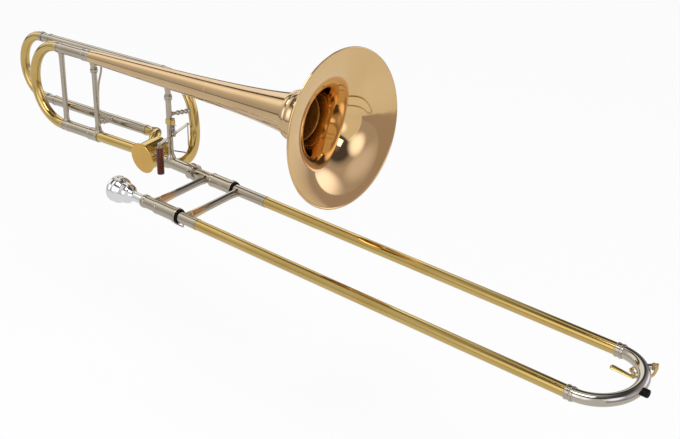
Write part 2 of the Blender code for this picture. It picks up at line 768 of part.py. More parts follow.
def build_necks():
    clear = bpy.data.objects["rotor_space"]
    inner = VALVE_AT.x - CASING_RADIUS + CASING_WALL
    neck = pipe("neck_tube", YELLOW_BRASS, bell, JOINT_X + SEAT, inner + 0.004, NECK_RADIUS, NECK_WALL)
    boolean(neck, clear)
    start = BELL_FRAME_X + VALVE_AT.x + CASING_RADIUS - CASING_WALL - 0.004
    gooseneck = pipe("gooseneck", NICKEL, slide, start, GOOSENECK_FRONT, GOOSENECK_RADIUS, NECK_WALL,
                     sides=FITTING_SIDES)
    boolean(gooseneck, clear)


def seat_cutters():
    """Cutters that shape each brace's end to the tube it sits on."""
    stem_rear = bar_cutter("stem_seat_rear", bell, stem_line + MIDDLE_BRACE_X * X, X,
                           horn_radius(MIDDLE_BRACE_X) + SEAT, 0.04)
    neck = bar_cutter("neck_seat", bell, MIDDLE_BRACE_X * X, X, FERRULE_RADIUS + SEAT, 0.04)
    outline = [(x, horn_radius(x) + SEAT) for x in (BELL_BRACE_X - 0.02, BELL_BRACE_X + 0.02)]
    stem_front = as_cutter(turned("stem_seat_front", ROSE_BRASS, bell, outline, at=stem_line,
                                  sides=BELL_SIDES))
    goose = bar_cutter("gooseneck_seat", slide, (BELL_FRAME_X + BELL_BRACE_X, 0, 0), X,
                       GOOSENECK_RADIUS + SEAT, 0.04)
    return stem_rear, neck, stem_front, goose


def build_bell_braces():
    stem_rear, neck, stem_front, goose = seat_cutters()
    flange = BRACE_FLANGE
    middle = turned("middle_brace", NICKEL, bell,
                    brace_profile(BELL_LIFT, flange, flange, BELL_LIFT - MIDDLE_KNOB_DROP),
                    at=MIDDLE_BRACE_X * X, along=Z, sides=ROD_SIDES)
    boolean(boolean(middle, stem_rear), neck)
    length = BELL_LIFT + BELL_BRACE_FOOT
    front = turned("bell_brace", NICKEL, bell,
                   brace_profile(length, BRACE_FOOT_RADIUS, flange, length - BELL_KNOB_DROP),
                   at=Vector((BELL_BRACE_X, 0, -BELL_BRACE_FOOT)), along=Z, sides=ROD_SIDES)
    boolean(boolean(front, stem_front), goose)

    rear_start = Vector((MIDDLE_BRACE_X, 0, 0.0215))
    rear_end = Vector((MIDDLE_BRACE_X, F_SIDE_Y, 0.0190))
    small = fancy_brace("rear_f_brace", NICKEL, bell, rear_start, rear_end)
    post = bar_cutter("middle_brace_seat", bell, rear_start, Z, 0.0052, 0.03)
    tube = bar_cutter("f_lower_seat", bell, f_lower + MIDDLE_BRACE_X * X, X, F_TUBE_RADIUS + SEAT, 0.04)
    boolean(boolean(small, post), tube)

    cross = BELL_LIFT - FRONT_CROSS_DROP
    front_start = Vector((BELL_BRACE_X, 0, cross))
    front_end = Vector((FRONT_CROOK_MIDDLE_X, F_SIDE_Y, cross + 0.0020))
    small = fancy_brace("front_f_brace", NICKEL, bell, front_start, front_end)
    post = bar_cutter("bell_brace_seat", bell, front_start, Z, BRACE_RADIUS + SEAT, 0.03)
    crook_space = finish(path("front_crook_space", DROP[4:10], F_TUBE_RADIUS + SEAT, 24), NICKEL, bell)
    crook_space.data.use_fill_caps = True
    boolean(boolean(small, post), as_cutter(as_mesh(crook_space)))


# Thumb trigger: bracket on the brace, pin, spring, lever, roller and drop rod

def build_trigger():
    top = BRACKET_Z + BRACKET_HEIGHT
    collar = BRACE_RADIUS + SEAT
    bracket = turned("trigger_bracket", YELLOW_BRASS, bell,
                     [(BRACKET_Z, collar + 0.0014), (top, collar + 0.0014)],
                     [(BRACKET_Z, collar), (top, collar)],
                     at=Vector((BELL_BRACE_X, 0, 0)), along=Z, sides=ROD_SIDES)
    boss = turned("bracket_boss", YELLOW_BRASS, bell, [(BRACKET_Z + 0.0005, 0.0031), (top - 0.0005, 0.0031)],
                  at=TRIGGER_AT, along=Z, sides=ROD_SIDES)
    joined(bracket, boss)
    hole = bar_cutter("bracket_hole", bell, TRIGGER_AT + top * Z, Z, PIVOT_RADIUS + RUNNING, 0.05, ROD_SIDES)
    brace_space = bar_cutter("bracket_brace_space", bell, (BELL_BRACE_X, 0, top), Z, collar, 0.05, ROD_SIDES)
    boolean(bracket, hole)
    boolean(bracket, brace_space)

    pin_bottom = LEVER_Z - LEVER_THICKNESS / 2 - 0.0008
    turned("trigger_pivot", STEEL, bell,
           [(pin_bottom - 0.0016, 0.0028), (pin_bottom - SEAT, 0.0028), (pin_bottom - SEAT, PIVOT_RADIUS),
            (top + SEAT, PIVOT_RADIUS), (top + SEAT, 0.0026), (top + 0.0020, 0.0026)],
           at=TRIGGER_AT, along=Z, sides=ROD_SIDES)
    hub_top = LEVER_Z + 0.0026
    coil_start = hub_top + 0.0012
    pitch = (BRACKET_Z - coil_start - 0.0012) / 6
    wire = 0.00045
    points = coil(TRIGGER_AT + coil_start * Z, Z, Y, TRIGGER_CURL_RADIUS, wire, pitch, 6,
                  Vector((0.0055, 0, 0)), Vector((0.0040, 0, 0)))
    rod("trigger_spring", STEEL, bell, points, wire, 6)

    lever = turned("trigger_lever", NICKEL, lever_axis,
                   [(LEVER_Z - LEVER_THICKNESS / 2 - 0.0006, LEVER_HUB_RADIUS), (hub_top, LEVER_HUB_RADIUS)],
                   along=Z, sides=ROD_SIDES)
    for name, target in (("lever_tail", DROP_ROD_AT - TRIGGER_AT), ("lever_front", ROLLER_AT - TRIGGER_AT)):
        strip = strap(name, NICKEL, lever_axis, LEVER_Z * Z, target + LEVER_Z * Z, LEVER_WIDTH,
                      LEVER_THICKNESS)
        end = turned(name + "_end", NICKEL, lever_axis,
                     [(LEVER_Z - LEVER_THICKNESS / 2 - 0.0003, LEVER_WIDTH / 2 + 0.0004),
                      (LEVER_Z + LEVER_THICKNESS / 2 + 0.0003, LEVER_WIDTH / 2 + 0.0004)],
                     at=target, along=Z, sides=ROD_SIDES)
        joined(lever, strip, end)
    pin_space = bar_cutter("lever_pin_space", lever_axis, LEVER_Z * Z, Z, PIVOT_RADIUS + RUNNING, 0.03,
                           ROD_SIDES)
    boolean(lever, pin_space)
    roller_line = ROLLER_AT - TRIGGER_AT
    lever_top = LEVER_Z + LEVER_THICKNESS / 2 + 0.0012
    drop_rod = turned("drop_rod", STEEL, lever_axis,
                      [(DROP_ROD_BOTTOM, DROP_ROD_RADIUS), (lever_top, DROP_ROD_RADIUS)],
                      at=DROP_ROD_AT - TRIGGER_AT, along=Z, sides=SMALL_SIDES)
    collar_bottom = ROLLER_TOP + SEAT
    roller_pin = turned("roller_pin", STEEL, lever_axis,
                        [(ROLLER_BOTTOM - SEAT, DROP_ROD_RADIUS), (collar_bottom, DROP_ROD_RADIUS),
                         (collar_bottom, 0.0032), (LEVER_Z, 0.0024), (lever_top, 0.0018)],
                        at=roller_line, along=Z, sides=SMALL_SIDES)
    joined(lever, drop_rod, roller_pin)
    roller_bore = DROP_ROD_RADIUS + RUNNING
    turned("thumb_roller", ROSEWOOD, lever_axis,
           [(ROLLER_BOTTOM, ROLLER_RADIUS - 0.0010), (ROLLER_BOTTOM + 0.0010, ROLLER_RADIUS),
            (ROLLER_TOP - 0.0010, ROLLER_RADIUS), (ROLLER_TOP, ROLLER_RADIUS - 0.0010)],
           [(ROLLER_BOTTOM, roller_bore), (ROLLER_TOP, roller_bore)], at=roller_line, along=Z,
           sides=ROD_SIDES)


def build_link(pin_at):
    """The link: an eye on the rotor arm's pin, a rod and an open eye round the lever's drop rod."""
    valve_line = valve_to_bell(Z) - VALVE_AT
    eye_radius = PIN_RADIUS + RUNNING + LINK_EYE_WALL
    half = LINK_EYE_LENGTH / 2
    link = turned("linkage_rod", STEEL, link_axis, [(-half, eye_radius), (half, eye_radius)],
                  [(-half, PIN_RADIUS + RUNNING), (half, PIN_RADIUS + RUNNING)], along=valve_line,
                  sides=ROD_SIDES)
    eye_at = DROP_ROD_AT + LINK_EYE_SHIFT * Y + pin_at.z * Z - pin_at
    outer = LINK_EYE_BORE + LINK_EYE_WALL
    front_eye = turned("link_front_eye", STEEL, link_axis, [(-half, outer), (half, outer)],
                       [(-half, LINK_EYE_BORE), (half, LINK_EYE_BORE)], at=eye_at, along=Z, sides=ROD_SIDES)
    way = eye_at.normalized()
    start = way * (PIN_RADIUS + RUNNING + LINK_EYE_WALL / 2)
    end = eye_at - way * (LINK_EYE_BORE + LINK_EYE_WALL / 2)
    bar = turned("link_bar", STEEL, link_axis, [(0, LINK_RADIUS), ((end - start).length, LINK_RADIUS)],
                 at=start, along=way, sides=8)
    joined(link, front_eye, bar)


# Cork barrels, receiver, tenon and lock nut

def build_barrels():
    inner_hole = inner_tube_radius + RUNNING
    room = BARREL_RADIUS - BARREL_WALL
    floor = SLEEVE_BACK - SEAT
    outer = [(BARREL_BACK, BARREL_RADIUS - 0.0012), (BARREL_BACK + 0.0015, BARREL_RADIUS),
             (BARREL_FRONT, BARREL_RADIUS)]
    bore = [(BARREL_BACK, inner_hole), (floor, inner_hole), (floor, room), (BARREL_FRONT, room)]
    turned("near_cork_barrel", NICKEL, slide_body, outer, bore, at=near, sides=FITTING_SIDES)
    outer = [
        (TENON_BACK, TENON_RADIUS),
        (NUT_FRONT + SEAT, TENON_RADIUS),
        (NUT_FRONT + SEAT, SHANK_TUBE_RADIUS),
        (BARREL_BACK, SHANK_TUBE_RADIUS),
        (BARREL_BACK, BARREL_RADIUS - 0.0012),
        (BARREL_BACK + 0.0015, BARREL_RADIUS),
        (BARREL_FRONT, BARREL_RADIUS),
        (BARREL_FRONT, RING_RADIUS - 0.0004),
        (BARREL_FRONT + 0.0006, RING_RADIUS),
        (RING_FRONT - 0.0006, RING_RADIUS),
        (RING_FRONT, RING_RADIUS - 0.0004),
    ]
    air = inner_tube_radius - INNER_TUBE_WALL
    bore = [(TENON_BACK, air), (FAR_TUBE_BACK, air), (FAR_TUBE_BACK, inner_hole), (floor, inner_hole),
            (floor, room), (RING_FRONT, room)]
    turned("far_cork_barrel", NICKEL, slide_body, outer, bore, at=far, sides=FITTING_SIDES)
    ring_front = RING_FRONT + SEAT + BUMPER_RING_LENGTH
    hole = SLEEVE_RADIUS + SEAT
    for name, line in (("near_bumper_ring", near), ("far_bumper_ring", far)):
        pipe(name, RUBBER, slide_body, RING_FRONT + SEAT, ring_front, BUMPER_RING_RADIUS,
             BUMPER_RING_RADIUS - hole, at=line)

    outer = [
        (RECEIVER_BACK, RECEIVER_RING_RADIUS - 0.0008),
        (RECEIVER_BACK + 0.0010, RECEIVER_RING_RADIUS),
        (-0.0085, RECEIVER_RING_RADIUS),
        (-0.0065, RECEIVER_RADIUS),
        (BARREL_BACK - SEAT, RECEIVER_RADIUS),
    ]
    bore = [
        (RECEIVER_BACK, SHANK_RADIUS + RUNNING),
        (RECEIVER_SEAT, SHANK_END_RADIUS + RUNNING),
        (RECEIVER_SEAT, inner_tube_radius + RUNNING),
        (BARREL_BACK - SEAT, inner_tube_radius + RUNNING),
    ]
    turned("mouthpiece_receiver", NICKEL, slide_body, outer, bore, at=near, sides=FITTING_SIDES)
    pipe("near_inner_tube", NICKEL, slide_body, RECEIVER_SEAT + SEAT, INNER_TUBE_FRONT, inner_tube_radius,
         INNER_TUBE_WALL, at=near)
    pipe("far_inner_tube", NICKEL, slide_body, FAR_TUBE_BACK + SEAT, INNER_TUBE_FRONT, inner_tube_radius,
         INNER_TUBE_WALL, at=far)

    outer = [
        (NUT_BACK, NUT_RADIUS - 0.0010),
        (NUT_BACK + 0.0008, NUT_RADIUS),
        (NUT_BACK + NUT_RIM, NUT_RADIUS),
        (NUT_BACK + NUT_RIM + 0.0006, NUT_RADIUS - 0.0006),
        (NUT_FRONT - NUT_RIM - 0.0006, NUT_RADIUS - 0.0006),
        (NUT_FRONT - NUT_RIM, NUT_RADIUS),
        (NUT_FRONT - 0.0008, NUT_RADIUS),
        (NUT_FRONT, NUT_RADIUS - 0.0010),
    ]
    thread = GOOSENECK_RADIUS + SEAT
    bore = [(NUT_BACK, thread), (GOOSENECK_FRONT + SEAT, thread),
            (GOOSENECK_FRONT + SEAT, TENON_RADIUS + SEAT), (NUT_FRONT, TENON_RADIUS + SEAT)]
    turned("bell_lock_nut", NICKEL, nut_axis, outer, bore, sides=FITTING_SIDES)


def build_slide_lock():
    """The lock ring at the near barrel's mouth; when turned, its hook is in front of the sleeve's lug."""
    back = BARREL_FRONT + SEAT
    radius = RING_RADIUS + 0.0002
    ring = pipe("slide_lock_ring", NICKEL, lock_axis, back, RING_FRONT, radius,
                radius - (BARREL_RADIUS - BARREL_WALL))
    hook_back = LOCK_LUG_X + LOCK_LUG_LENGTH + SEAT
    hook_front = hook_back + LOCK_HOOK_LENGTH
    side = LOCK_HOOK_WIDTH / 2
    bottom = -(radius + 0.0010)
    bar_top = -(BUMPER_RING_RADIUS + SEAT)
    hook_top = -(SLEEVE_RADIUS + SEAT)
    bar = box("hook_bar", NICKEL, lock_axis, (back + 0.0010, -side, bottom), (hook_front, side, bar_top))
    hook = box("hook_end", NICKEL, lock_axis, (hook_back, -side + 0.0001, bottom + 0.0002),
               (hook_front - 0.0001, side - 0.0001, hook_top))
    for piece in (bar, hook):
        spot = piece.location.copy()
        spot.rotate(Euler((-LOCK_TURN, 0, 0)))
        piece.location = spot
        piece.rotation_euler = (-LOCK_TURN, 0, 0)
    joined(ring, bar, hook)


# Hand slide: sleeves, tubes, bow, ferrules, braces and bumper

def slide_brace(name, surface, parent, x, near_radius, far_radius, rod_radius):
    """A brace across the slide, a rod that widens to a foot at each tube."""
    length = SLIDE_SPACING
    outline = [
        (0, SLIDE_BRACE_FOOT),
        (near_radius + 0.002, SLIDE_BRACE_FOOT),
        (near_radius + 0.018, rod_radius),
        (length - far_radius - 0.012, rod_radius),
        (length - far_radius - 0.002, SLIDE_BRACE_FOOT - 0.0006),
        (length, SLIDE_BRACE_FOOT - 0.0006),
    ]
    brace = turned(name, surface, parent, outline, at=near + x * X, along=Y, sides=ROD_SIDES)
    for side, line, radius in (("near", near, near_radius), ("far", far, far_radius)):
        boolean(brace, bar_cutter(f"{name}_seat_{side}", parent, line + x * X, X, radius + SEAT, 0.05))
    return brace


def bow_points():
    """The bow's middle line: short straight ends and half an ellipse, shallower than a half circle."""
    centre = Vector((BOW_BEND_X, -SLIDE_SPACING / 2, 0))
    bend = arc(centre, BOW_FORWARD * X, SLIDE_SPACING / 2 * Y, 90, -90, BOW_STEPS)
    straight = (BOW_BEND_X - BOW_X) * X
    return [bend[0] - straight] + bend + [bend[-1] - straight]


def build_hand_slide():
    bore_wall = SLEEVE_RADIUS - OUTER_TUBE_RADIUS + OUTER_TUBE_WALL
    for side, line, split in (("near", near, NEAR_SLEEVE_FRONT), ("far", far, FAR_SLEEVE_FRONT)):
        sleeve = pipe(f"{side}_slide_sleeve", NICKEL, hand_slide, SLEEVE_BACK, split, SLEEVE_RADIUS,
                      bore_wall, at=line)
        if line is near:
            lug = box("slide_lock_lug", YELLOW_BRASS, hand_slide,
                      (LOCK_LUG_X, near.y - LOCK_LUG_WIDTH / 2, -LOCK_LUG_DEPTH),
                      (LOCK_LUG_X + LOCK_LUG_LENGTH, near.y + LOCK_LUG_WIDTH / 2, 0.0006 - SLEEVE_RADIUS))
            joined(sleeve, lug)
        pipe(f"{side}_outer_tube", YELLOW_BRASS, hand_slide, split + SEAT, BOW_X - SEAT, OUTER_TUBE_RADIUS,
             OUTER_TUBE_WALL, at=line)
        bead = 0.0005
        outer = [
            (BOW_FERRULE_BACK, BOW_FERRULE_RADIUS - bead),
            (BOW_FERRULE_FRONT - 0.0030, BOW_FERRULE_RADIUS - bead),
            (BOW_FERRULE_FRONT - 0.0024, BOW_FERRULE_RADIUS),
            (BOW_FERRULE_FRONT, BOW_FERRULE_RADIUS),
        ]
        tube_hole = OUTER_TUBE_RADIUS + RUNNING
        bow_hole = BOW_RADIUS + BOW_FERRULE_ROOM
        bore = [(BOW_FERRULE_BACK, tube_hole), (BOW_X - SEAT, tube_hole), (BOW_X - SEAT, bow_hole),
                (BOW_FERRULE_FRONT, bow_hole)]
        turned(f"{side}_bow_ferrule", NICKEL, hand_slide, outer, bore, at=line)
    bow = as_mesh(bent_tube("slide_bow", SILVER, hand_slide, bow_points(), BOW_RADIUS, BOW_WALL))
    slide_brace("outer_slide_brace", NICKEL, hand_slide, OUTER_BRACE_X, SLEEVE_RADIUS, SLEEVE_RADIUS,
                SLIDE_BRACE_RADIUS)
    bumper_back = BOW_BEND_X + BOW_FORWARD
    bumper = turned("rubber_bumper", RUBBER, hand_slide,
                    [(bumper_back, BUMPER_RADIUS), (BUMPER_FACE_X - 0.0010, BUMPER_RADIUS),
                     (BUMPER_FACE_X, BUMPER_RADIUS - 0.0010)], at=near / 2, sides=ROD_SIDES)
    bow_space = finish(path("bow_space", bow_points(), BOW_RADIUS + SEAT, 24), SILVER, hand_slide)
    bow_space.data.use_fill_caps = True
    bow_space = as_cutter(as_mesh(bow_space))
    boolean(bumper, bow_space)
    return bow, bow_space


# Water key on the bow

def bow_reach(start, way):
    """How far from the point start, along the level direction way, the bow's outer edge lies."""
    half_x = BOW_FORWARD
    half_y = SLIDE_SPACING / 2
    x = (start.x - BOW_BEND_X) / half_x
    y = (start.y + half_y) / half_y
    a = (way.x / half_x) ** 2 + (way.y / half_y) ** 2
    b = x * way.x / half_x + y * way.y / half_y
    return (math.sqrt(b * b - a * (x * x + y * y - 1)) - b) / a + BOW_RADIUS


def build_water_key(bow, bow_space):
    """The key in its own axes: X crosses the bow outwards, Y is the hinge line and the origin is on it."""
    hub_at = -KEY_EAR_GAP / 2 + SEAT
    middle = hub_at + KEY_HUB_WIDTH / 2
    outwards = Vector((math.cos(KEY_TURN), math.sin(KEY_TURN), 0))
    tangent = Vector((-math.sin(KEY_TURN), math.cos(KEY_TURN), 0))
    edge = bow_reach(KEY_HINGE + middle * tangent, outwards)
    ear = KEY_EAR_GAP / 2 + KEY_EAR_THICKNESS
    saddle = box("water_key_saddle", YELLOW_BRASS, key_seat, (-0.0035, -ear, -0.0016),
                 (0.0100, ear, 0.0062))
    gap = box("saddle_gap", YELLOW_BRASS, key_seat, (-0.02, -KEY_EAR_GAP / 2, -0.01),
              (0.02, KEY_EAR_GAP / 2, KEY_CURL_RADIUS + 0.0013))
    boolean(saddle, as_cutter(gap))
    boolean(saddle, bow_space)
    pin_head = -ear - 0.0012
    pin = turned("water_key_pin", STEEL, key_seat,
                 [(pin_head, 0.0018), (-ear + 0.0002, 0.0018), (-ear + 0.0002, KEY_PIN_RADIUS),
                  (ear + 0.0006, KEY_PIN_RADIUS)], along=Y, sides=SMALL_SIDES)
    joined(saddle, pin)

    low = -KEY_ARM_DROP
    knee = Vector((-0.0010, middle, low))
    toe = Vector((edge + 0.0015, middle, low))
    nose = edge + KEY_NOSE_REACH - KEY_THICKNESS / 2
    shin = Vector((nose, middle, low + 0.0110))
    key = turned("water_key_lever", YELLOW_BRASS, water_key_axis,
                 [(hub_at, KEY_HUB_RADIUS), (hub_at + KEY_HUB_WIDTH, KEY_HUB_RADIUS)], along=Y,
                 sides=ROD_SIDES)
    neck = box("key_neck", YELLOW_BRASS, water_key_axis, (-0.0018, hub_at + 0.0001, low),
               (0.0018, hub_at + KEY_HUB_WIDTH - 0.0001, 0))
    arm = strap("key_arm", YELLOW_BRASS, water_key_axis, knee - 0.0005 * X, toe + 0.0006 * X,
                KEY_WIDTH, KEY_THICKNESS)
    touch = strap("key_touch", YELLOW_BRASS, water_key_axis, knee, KEY_FINGER_AT,
                  KEY_WIDTH - 0.0001, KEY_THICKNESS)
    half = KEY_THICKNESS / 2 + 0.0003
    end = turned("key_finger", YELLOW_BRASS, water_key_axis,
                 [(-half, KEY_FINGER_RADIUS), (half, KEY_FINGER_RADIUS)], at=KEY_FINGER_AT, along=Z,
                 sides=ROD_SIDES)
    rise = strap("key_rise", YELLOW_BRASS, water_key_axis, toe, shin, KEY_WIDTH - 0.0002, KEY_THICKNESS)
    upright = box("key_upright", YELLOW_BRASS, water_key_axis,
                  (nose - KEY_THICKNESS / 2, middle - KEY_WIDTH / 2, shin.z - 0.0010),
                  (nose + KEY_THICKNESS / 2, middle + KEY_WIDTH / 2, KEY_TOP_RISE))
    nipple_at = Vector((0, middle, KEY_PAD_RISE))
    nipple_front = edge + NIPPLE_REACH
    pad_back = nipple_front + SEAT
    cup_back = pad_back + KEY_PAD_THICKNESS + SEAT
    cup = turned("key_cup", YELLOW_BRASS, water_key_axis,
                 [(cup_back, KEY_CUP_RADIUS), (cup_back + 0.0010, KEY_CUP_RADIUS),
                  (cup_back + KEY_CUP_DEPTH, KEY_CUP_RADIUS * 0.5), (nose, KEY_CUP_RADIUS * 0.4)],
                 at=nipple_at, sides=ROD_SIDES)
    joined(key, neck, arm, touch, end, rise, upright, cup)
    boolean(key, bar_cutter("key_pin_space", water_key_axis, (0, 0, 0), Y, KEY_PIN_RADIUS + RUNNING, 0.03,
                            SMALL_SIDES))
    turned("water_key_pad", CORK, water_key_axis,
           [(pad_back, KEY_PAD_RADIUS), (cup_back - SEAT, KEY_PAD_RADIUS)], at=nipple_at, sides=ROD_SIDES)
    nipple = turned("water_key_nipple", SILVER, key_seat,
                    [(edge - 0.006, NIPPLE_RADIUS), (nipple_front, NIPPLE_RADIUS)], at=nipple_at,
                    sides=ROD_SIDES)
    joined(bow, nipple)
    boolean(bow, bar_cutter("water_hole", key_seat, nipple_at + nipple_front * X, X, WATER_HOLE_RADIUS, 0.02,
                            SMALL_SIDES))
    wire = 0.00028
    start = Vector((0, hub_at + KEY_HUB_WIDTH + 0.0012, 0))
    points = coil(start, Y, Z, KEY_CURL_RADIUS, wire, 0.00105, 2, Vector((-0.0045, 0, 0.0002)),
                  Vector((0.0014, 0, 0.0004)))
    rod("water_key_spring", STEEL, water_key_axis, points, wire, 6)


# Mouthpiece

def build_mouthpiece():
    """A turned mouthpiece: rim and cup at the rear, throat, backbore and a tapered shank."""
    shank_end = RECEIVER_SEAT - SEAT
    outer = [
        (0.0, MOUTHPIECE_BULGE - 0.0040),
        (0.0015, MOUTHPIECE_BULGE - 0.0010),
        (0.0040, MOUTHPIECE_BULGE),
        (0.0100, MOUTHPIECE_BULGE),
        (0.0170, MOUTHPIECE_BULGE - 0.0015),
        (0.0235, 0.0150),
        (0.0280, 0.0143),
        (0.0325, MOUTHPIECE_RIM_RADIUS),
        (0.0385, 0.0090),
        (0.0430, 0.0072),
    ]
    outer = [(RIM_BACK + s, radius) for s, radius in outer]
    outer += [(RECEIVER_BACK - 0.0005, SHANK_RADIUS), (shank_end, SHANK_END_RADIUS)]
    cup = []
    for i in range(6):
        share = i / 5
        radius = CUP_RADIUS * math.sqrt(1 - share ** 1.6) + THROAT_RADIUS * share
        cup.append((RIM_BACK + 0.0030 + share * (CUP_DEPTH - 0.0030), radius))
    bore = [(RIM_BACK, MOUTHPIECE_BULGE - 0.0052)] + cup
    bore += [(RIM_BACK + CUP_DEPTH + 0.004, THROAT_RADIUS), (shank_end, SHANK_END_RADIUS - 0.0009)]
    turned("mouthpiece", SILVER, mouthpiece_axis, outer, bore, sides=FITTING_SIDES)


# Routes of the F attachment's elbow and front crook, in bell axes
ELBOW = [Vector(p) for p in (
    (F_LOWER_FRONT, F_SIDE_Y, F_LOWER_Z),
    (F_LOWER_FRONT + 0.0060, F_SIDE_Y, F_LOWER_Z),
    (-0.0300, 0.0337, F_LOWER_Z + 0.0012),
    (-0.0230, 0.0320, F_LOWER_Z + 0.0030),
    (-0.0168, 0.0282, F_LOWER_Z + 0.0042),
    (-0.0120, 0.0226, F_LOWER_Z + 0.0042),
    (-0.0088, 0.0162, F_LOWER_Z + 0.0020),
    (-0.0062, 0.0106, F_LOWER_Z - 0.0030),
    (-0.0042, 0.0066, F_LOWER_Z - 0.0080),
)]
DROP = [Vector(p) for p in (
    (F_UPPER_FRONT, F_SIDE_Y, F_UPPER_Z),
    (F_UPPER_FRONT + 0.0040, F_SIDE_Y, F_UPPER_Z),
    (0.0135, F_SIDE_Y, F_UPPER_Z - 0.0010),
    (0.0245, F_SIDE_Y, F_UPPER_Z - 0.0046),
    (0.0370, F_SIDE_Y, F_UPPER_Z - 0.0120),
    (0.0475, F_SIDE_Y, F_UPPER_Z - 0.0225),
    (0.0555, F_SIDE_Y, F_UPPER_Z - 0.0360),
    (0.0605, F_SIDE_Y, F_UPPER_Z - 0.0520),
    (0.0627, F_SIDE_Y, F_UPPER_Z - 0.0690),
    (0.0625, F_SIDE_Y, F_UPPER_Z - 0.0860),
    (0.0595, F_SIDE_Y, F_UPPER_Z - 0.1020),
    (0.0540, F_SIDE_Y, F_UPPER_Z - 0.1150),
    (0.0465, 0.0336, F_UPPER_Z - 0.1255),
    (0.0380, 0.0318, F_UPPER_Z - 0.1330),
    (0.0300, 0.0280, F_UPPER_Z - 0.1370),
    (0.0232, 0.0225, F_UPPER_Z - 0.1375),
    (0.0180, 0.0170, F_UPPER_Z - 0.1368),
    (0.0140, 0.0118, F_UPPER_Z - 0.1335),
    (0.0108, 0.0072, F_UPPER_Z - 0.1295),
)]

VALVE_TURN = Euler((VALVE_LEAN - math.pi / 2, 0, 0))
inner_tube_radius = OUTER_TUBE_RADIUS - OUTER_TUBE_WALL - INNER_TUBE_CLEARANCE

valve = frame("valve_axes", bell, VALVE_AT, VALVE_TURN)
bell_flare_axis = frame("bell_flare_axis", bell, stem_line)
tuning_slide = frame("tuning_slide_axis", bell, (0, 0, BELL_LIFT / 2))
f_slide = frame("f_slide_axis", bell, (0, F_SIDE_Y, (F_UPPER_Z + F_LOWER_Z) / 2))
lever_axis = frame("trigger_axis", bell, TRIGGER_AT)
pin_along = BEARING_BACK + 2 * SEAT + ARM_THICKNESS + LINK_EYE_LENGTH / 2
link_pin = valve_to_bell(in_valve(ARM_REACH, ARM_REST_TURN, pin_along))
link_axis = frame("link_axis", bell, link_pin)
slide_body = frame("slide_swivel_axis", slide)
nut_axis = frame("lock_nut_axis", slide_body)
lock_axis = frame("slide_lock_axis", slide_body, near)
mouthpiece_axis = frame("mouthpiece_axis", slide_body, near)
hand_slide = frame("hand_slide_axis", slide_body)
key_seat = frame("water_key_seat", hand_slide, KEY_HINGE, (0, 0, KEY_TURN))
water_key_axis = frame("water_key_axis", hand_slide, KEY_HINGE, (0, 0, KEY_TURN))

build_bell()
build_tuning_slide()
build_f_attachment(ELBOW, DROP)
build_valve(ELBOW, DROP)
build_necks()
build_bell_braces()
build_trigger()
build_link(link_pin)
build_barrels()
build_slide_lock()
slide_brace("inner_slide_brace", NICKEL, slide_body, INNER_BRACE_X, RECEIVER_RADIUS, SHANK_TUBE_RADIUS,
            SLIDE_BRACE_RADIUS)
build_water_key(*build_hand_slide())
build_mouthpiece()
bpy.context.view_layer.update()
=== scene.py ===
"""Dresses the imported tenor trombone: round, polished pieces over its frame, a pale studio and the camera.

Lengths are in metres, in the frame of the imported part: +X runs forwards along the hand slide to the rubber
bumper, -Y is the mouthpiece side and +Z is up.
"""

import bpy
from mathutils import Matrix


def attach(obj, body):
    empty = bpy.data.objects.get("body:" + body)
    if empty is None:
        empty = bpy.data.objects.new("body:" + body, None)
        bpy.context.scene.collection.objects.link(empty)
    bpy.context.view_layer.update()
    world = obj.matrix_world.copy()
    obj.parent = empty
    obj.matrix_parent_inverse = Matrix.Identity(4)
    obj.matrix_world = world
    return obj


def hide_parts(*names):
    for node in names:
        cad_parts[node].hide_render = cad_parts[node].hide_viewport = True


bl_info = {
    "name": "Tenor trombone",
    "version": (1, 0, 0),
    "blender": (4, 5, 0),
    "location": "3D View > Sidebar > Trombone",
    "description": "Builds the polished pieces of a tenor trombone over its frame",
    "category": "Add Mesh",
}

import math

import bmesh
import bpy
from bpy.props import FloatProperty, FloatVectorProperty, IntProperty, PointerProperty
from mathutils import Euler, Matrix, Vector

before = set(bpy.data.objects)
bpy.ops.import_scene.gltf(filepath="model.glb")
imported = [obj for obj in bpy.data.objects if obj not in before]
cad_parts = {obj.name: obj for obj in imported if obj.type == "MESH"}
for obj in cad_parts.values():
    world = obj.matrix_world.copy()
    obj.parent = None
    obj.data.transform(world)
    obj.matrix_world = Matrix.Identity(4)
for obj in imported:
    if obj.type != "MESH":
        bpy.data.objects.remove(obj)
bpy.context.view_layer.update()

X = Vector((1, 0, 0))
Y = Vector((0, 1, 0))
Z = Vector((0, 0, 1))
FACE_X = 0.7523
SPACING = 0.1063
LIFT = 0.1272
SLIDE = Matrix.Translation((-FACE_X, SPACING / 2, 0))
BELL_TILT = Euler((math.radians(-5.0), math.radians(-3.37), 0))
BELL = SLIDE @ Matrix.Translation((-0.120, 0, 0)) @ BELL_TILT.to_matrix().to_4x4()
VALVE_AT = Vector((0.0027, 0, 0.0012))
VALVE_TURN = Euler((math.radians(7.1) - math.pi / 2, 0, 0))
VALVE = BELL @ Matrix.Translation(VALVE_AT) @ VALVE_TURN.to_matrix().to_4x4()
KEY = SLIDE @ Matrix.Translation((0.7135, -0.0200, -0.0068)) @ Matrix.Rotation(math.radians(42), 4, "Z")
NEAR = Vector((0, -SPACING, 0))
FAR = Vector((0, 0, 0))
STEM = Vector((0, 0, LIFT))
F_SIDE = 0.034
F_HIGH = Vector((0, F_SIDE, 0.1216))
F_LOW = Vector((0, F_SIDE, 0.018))


# Settings that a user would change

def length(name, text, value):
    return FloatProperty(name=name, description=text, default=value, min=0.0, precision=5, unit="LENGTH")


def share(name, text, value):
    return FloatProperty(name=name, description=text, default=value, min=0.0, max=1.0, subtype="FACTOR")


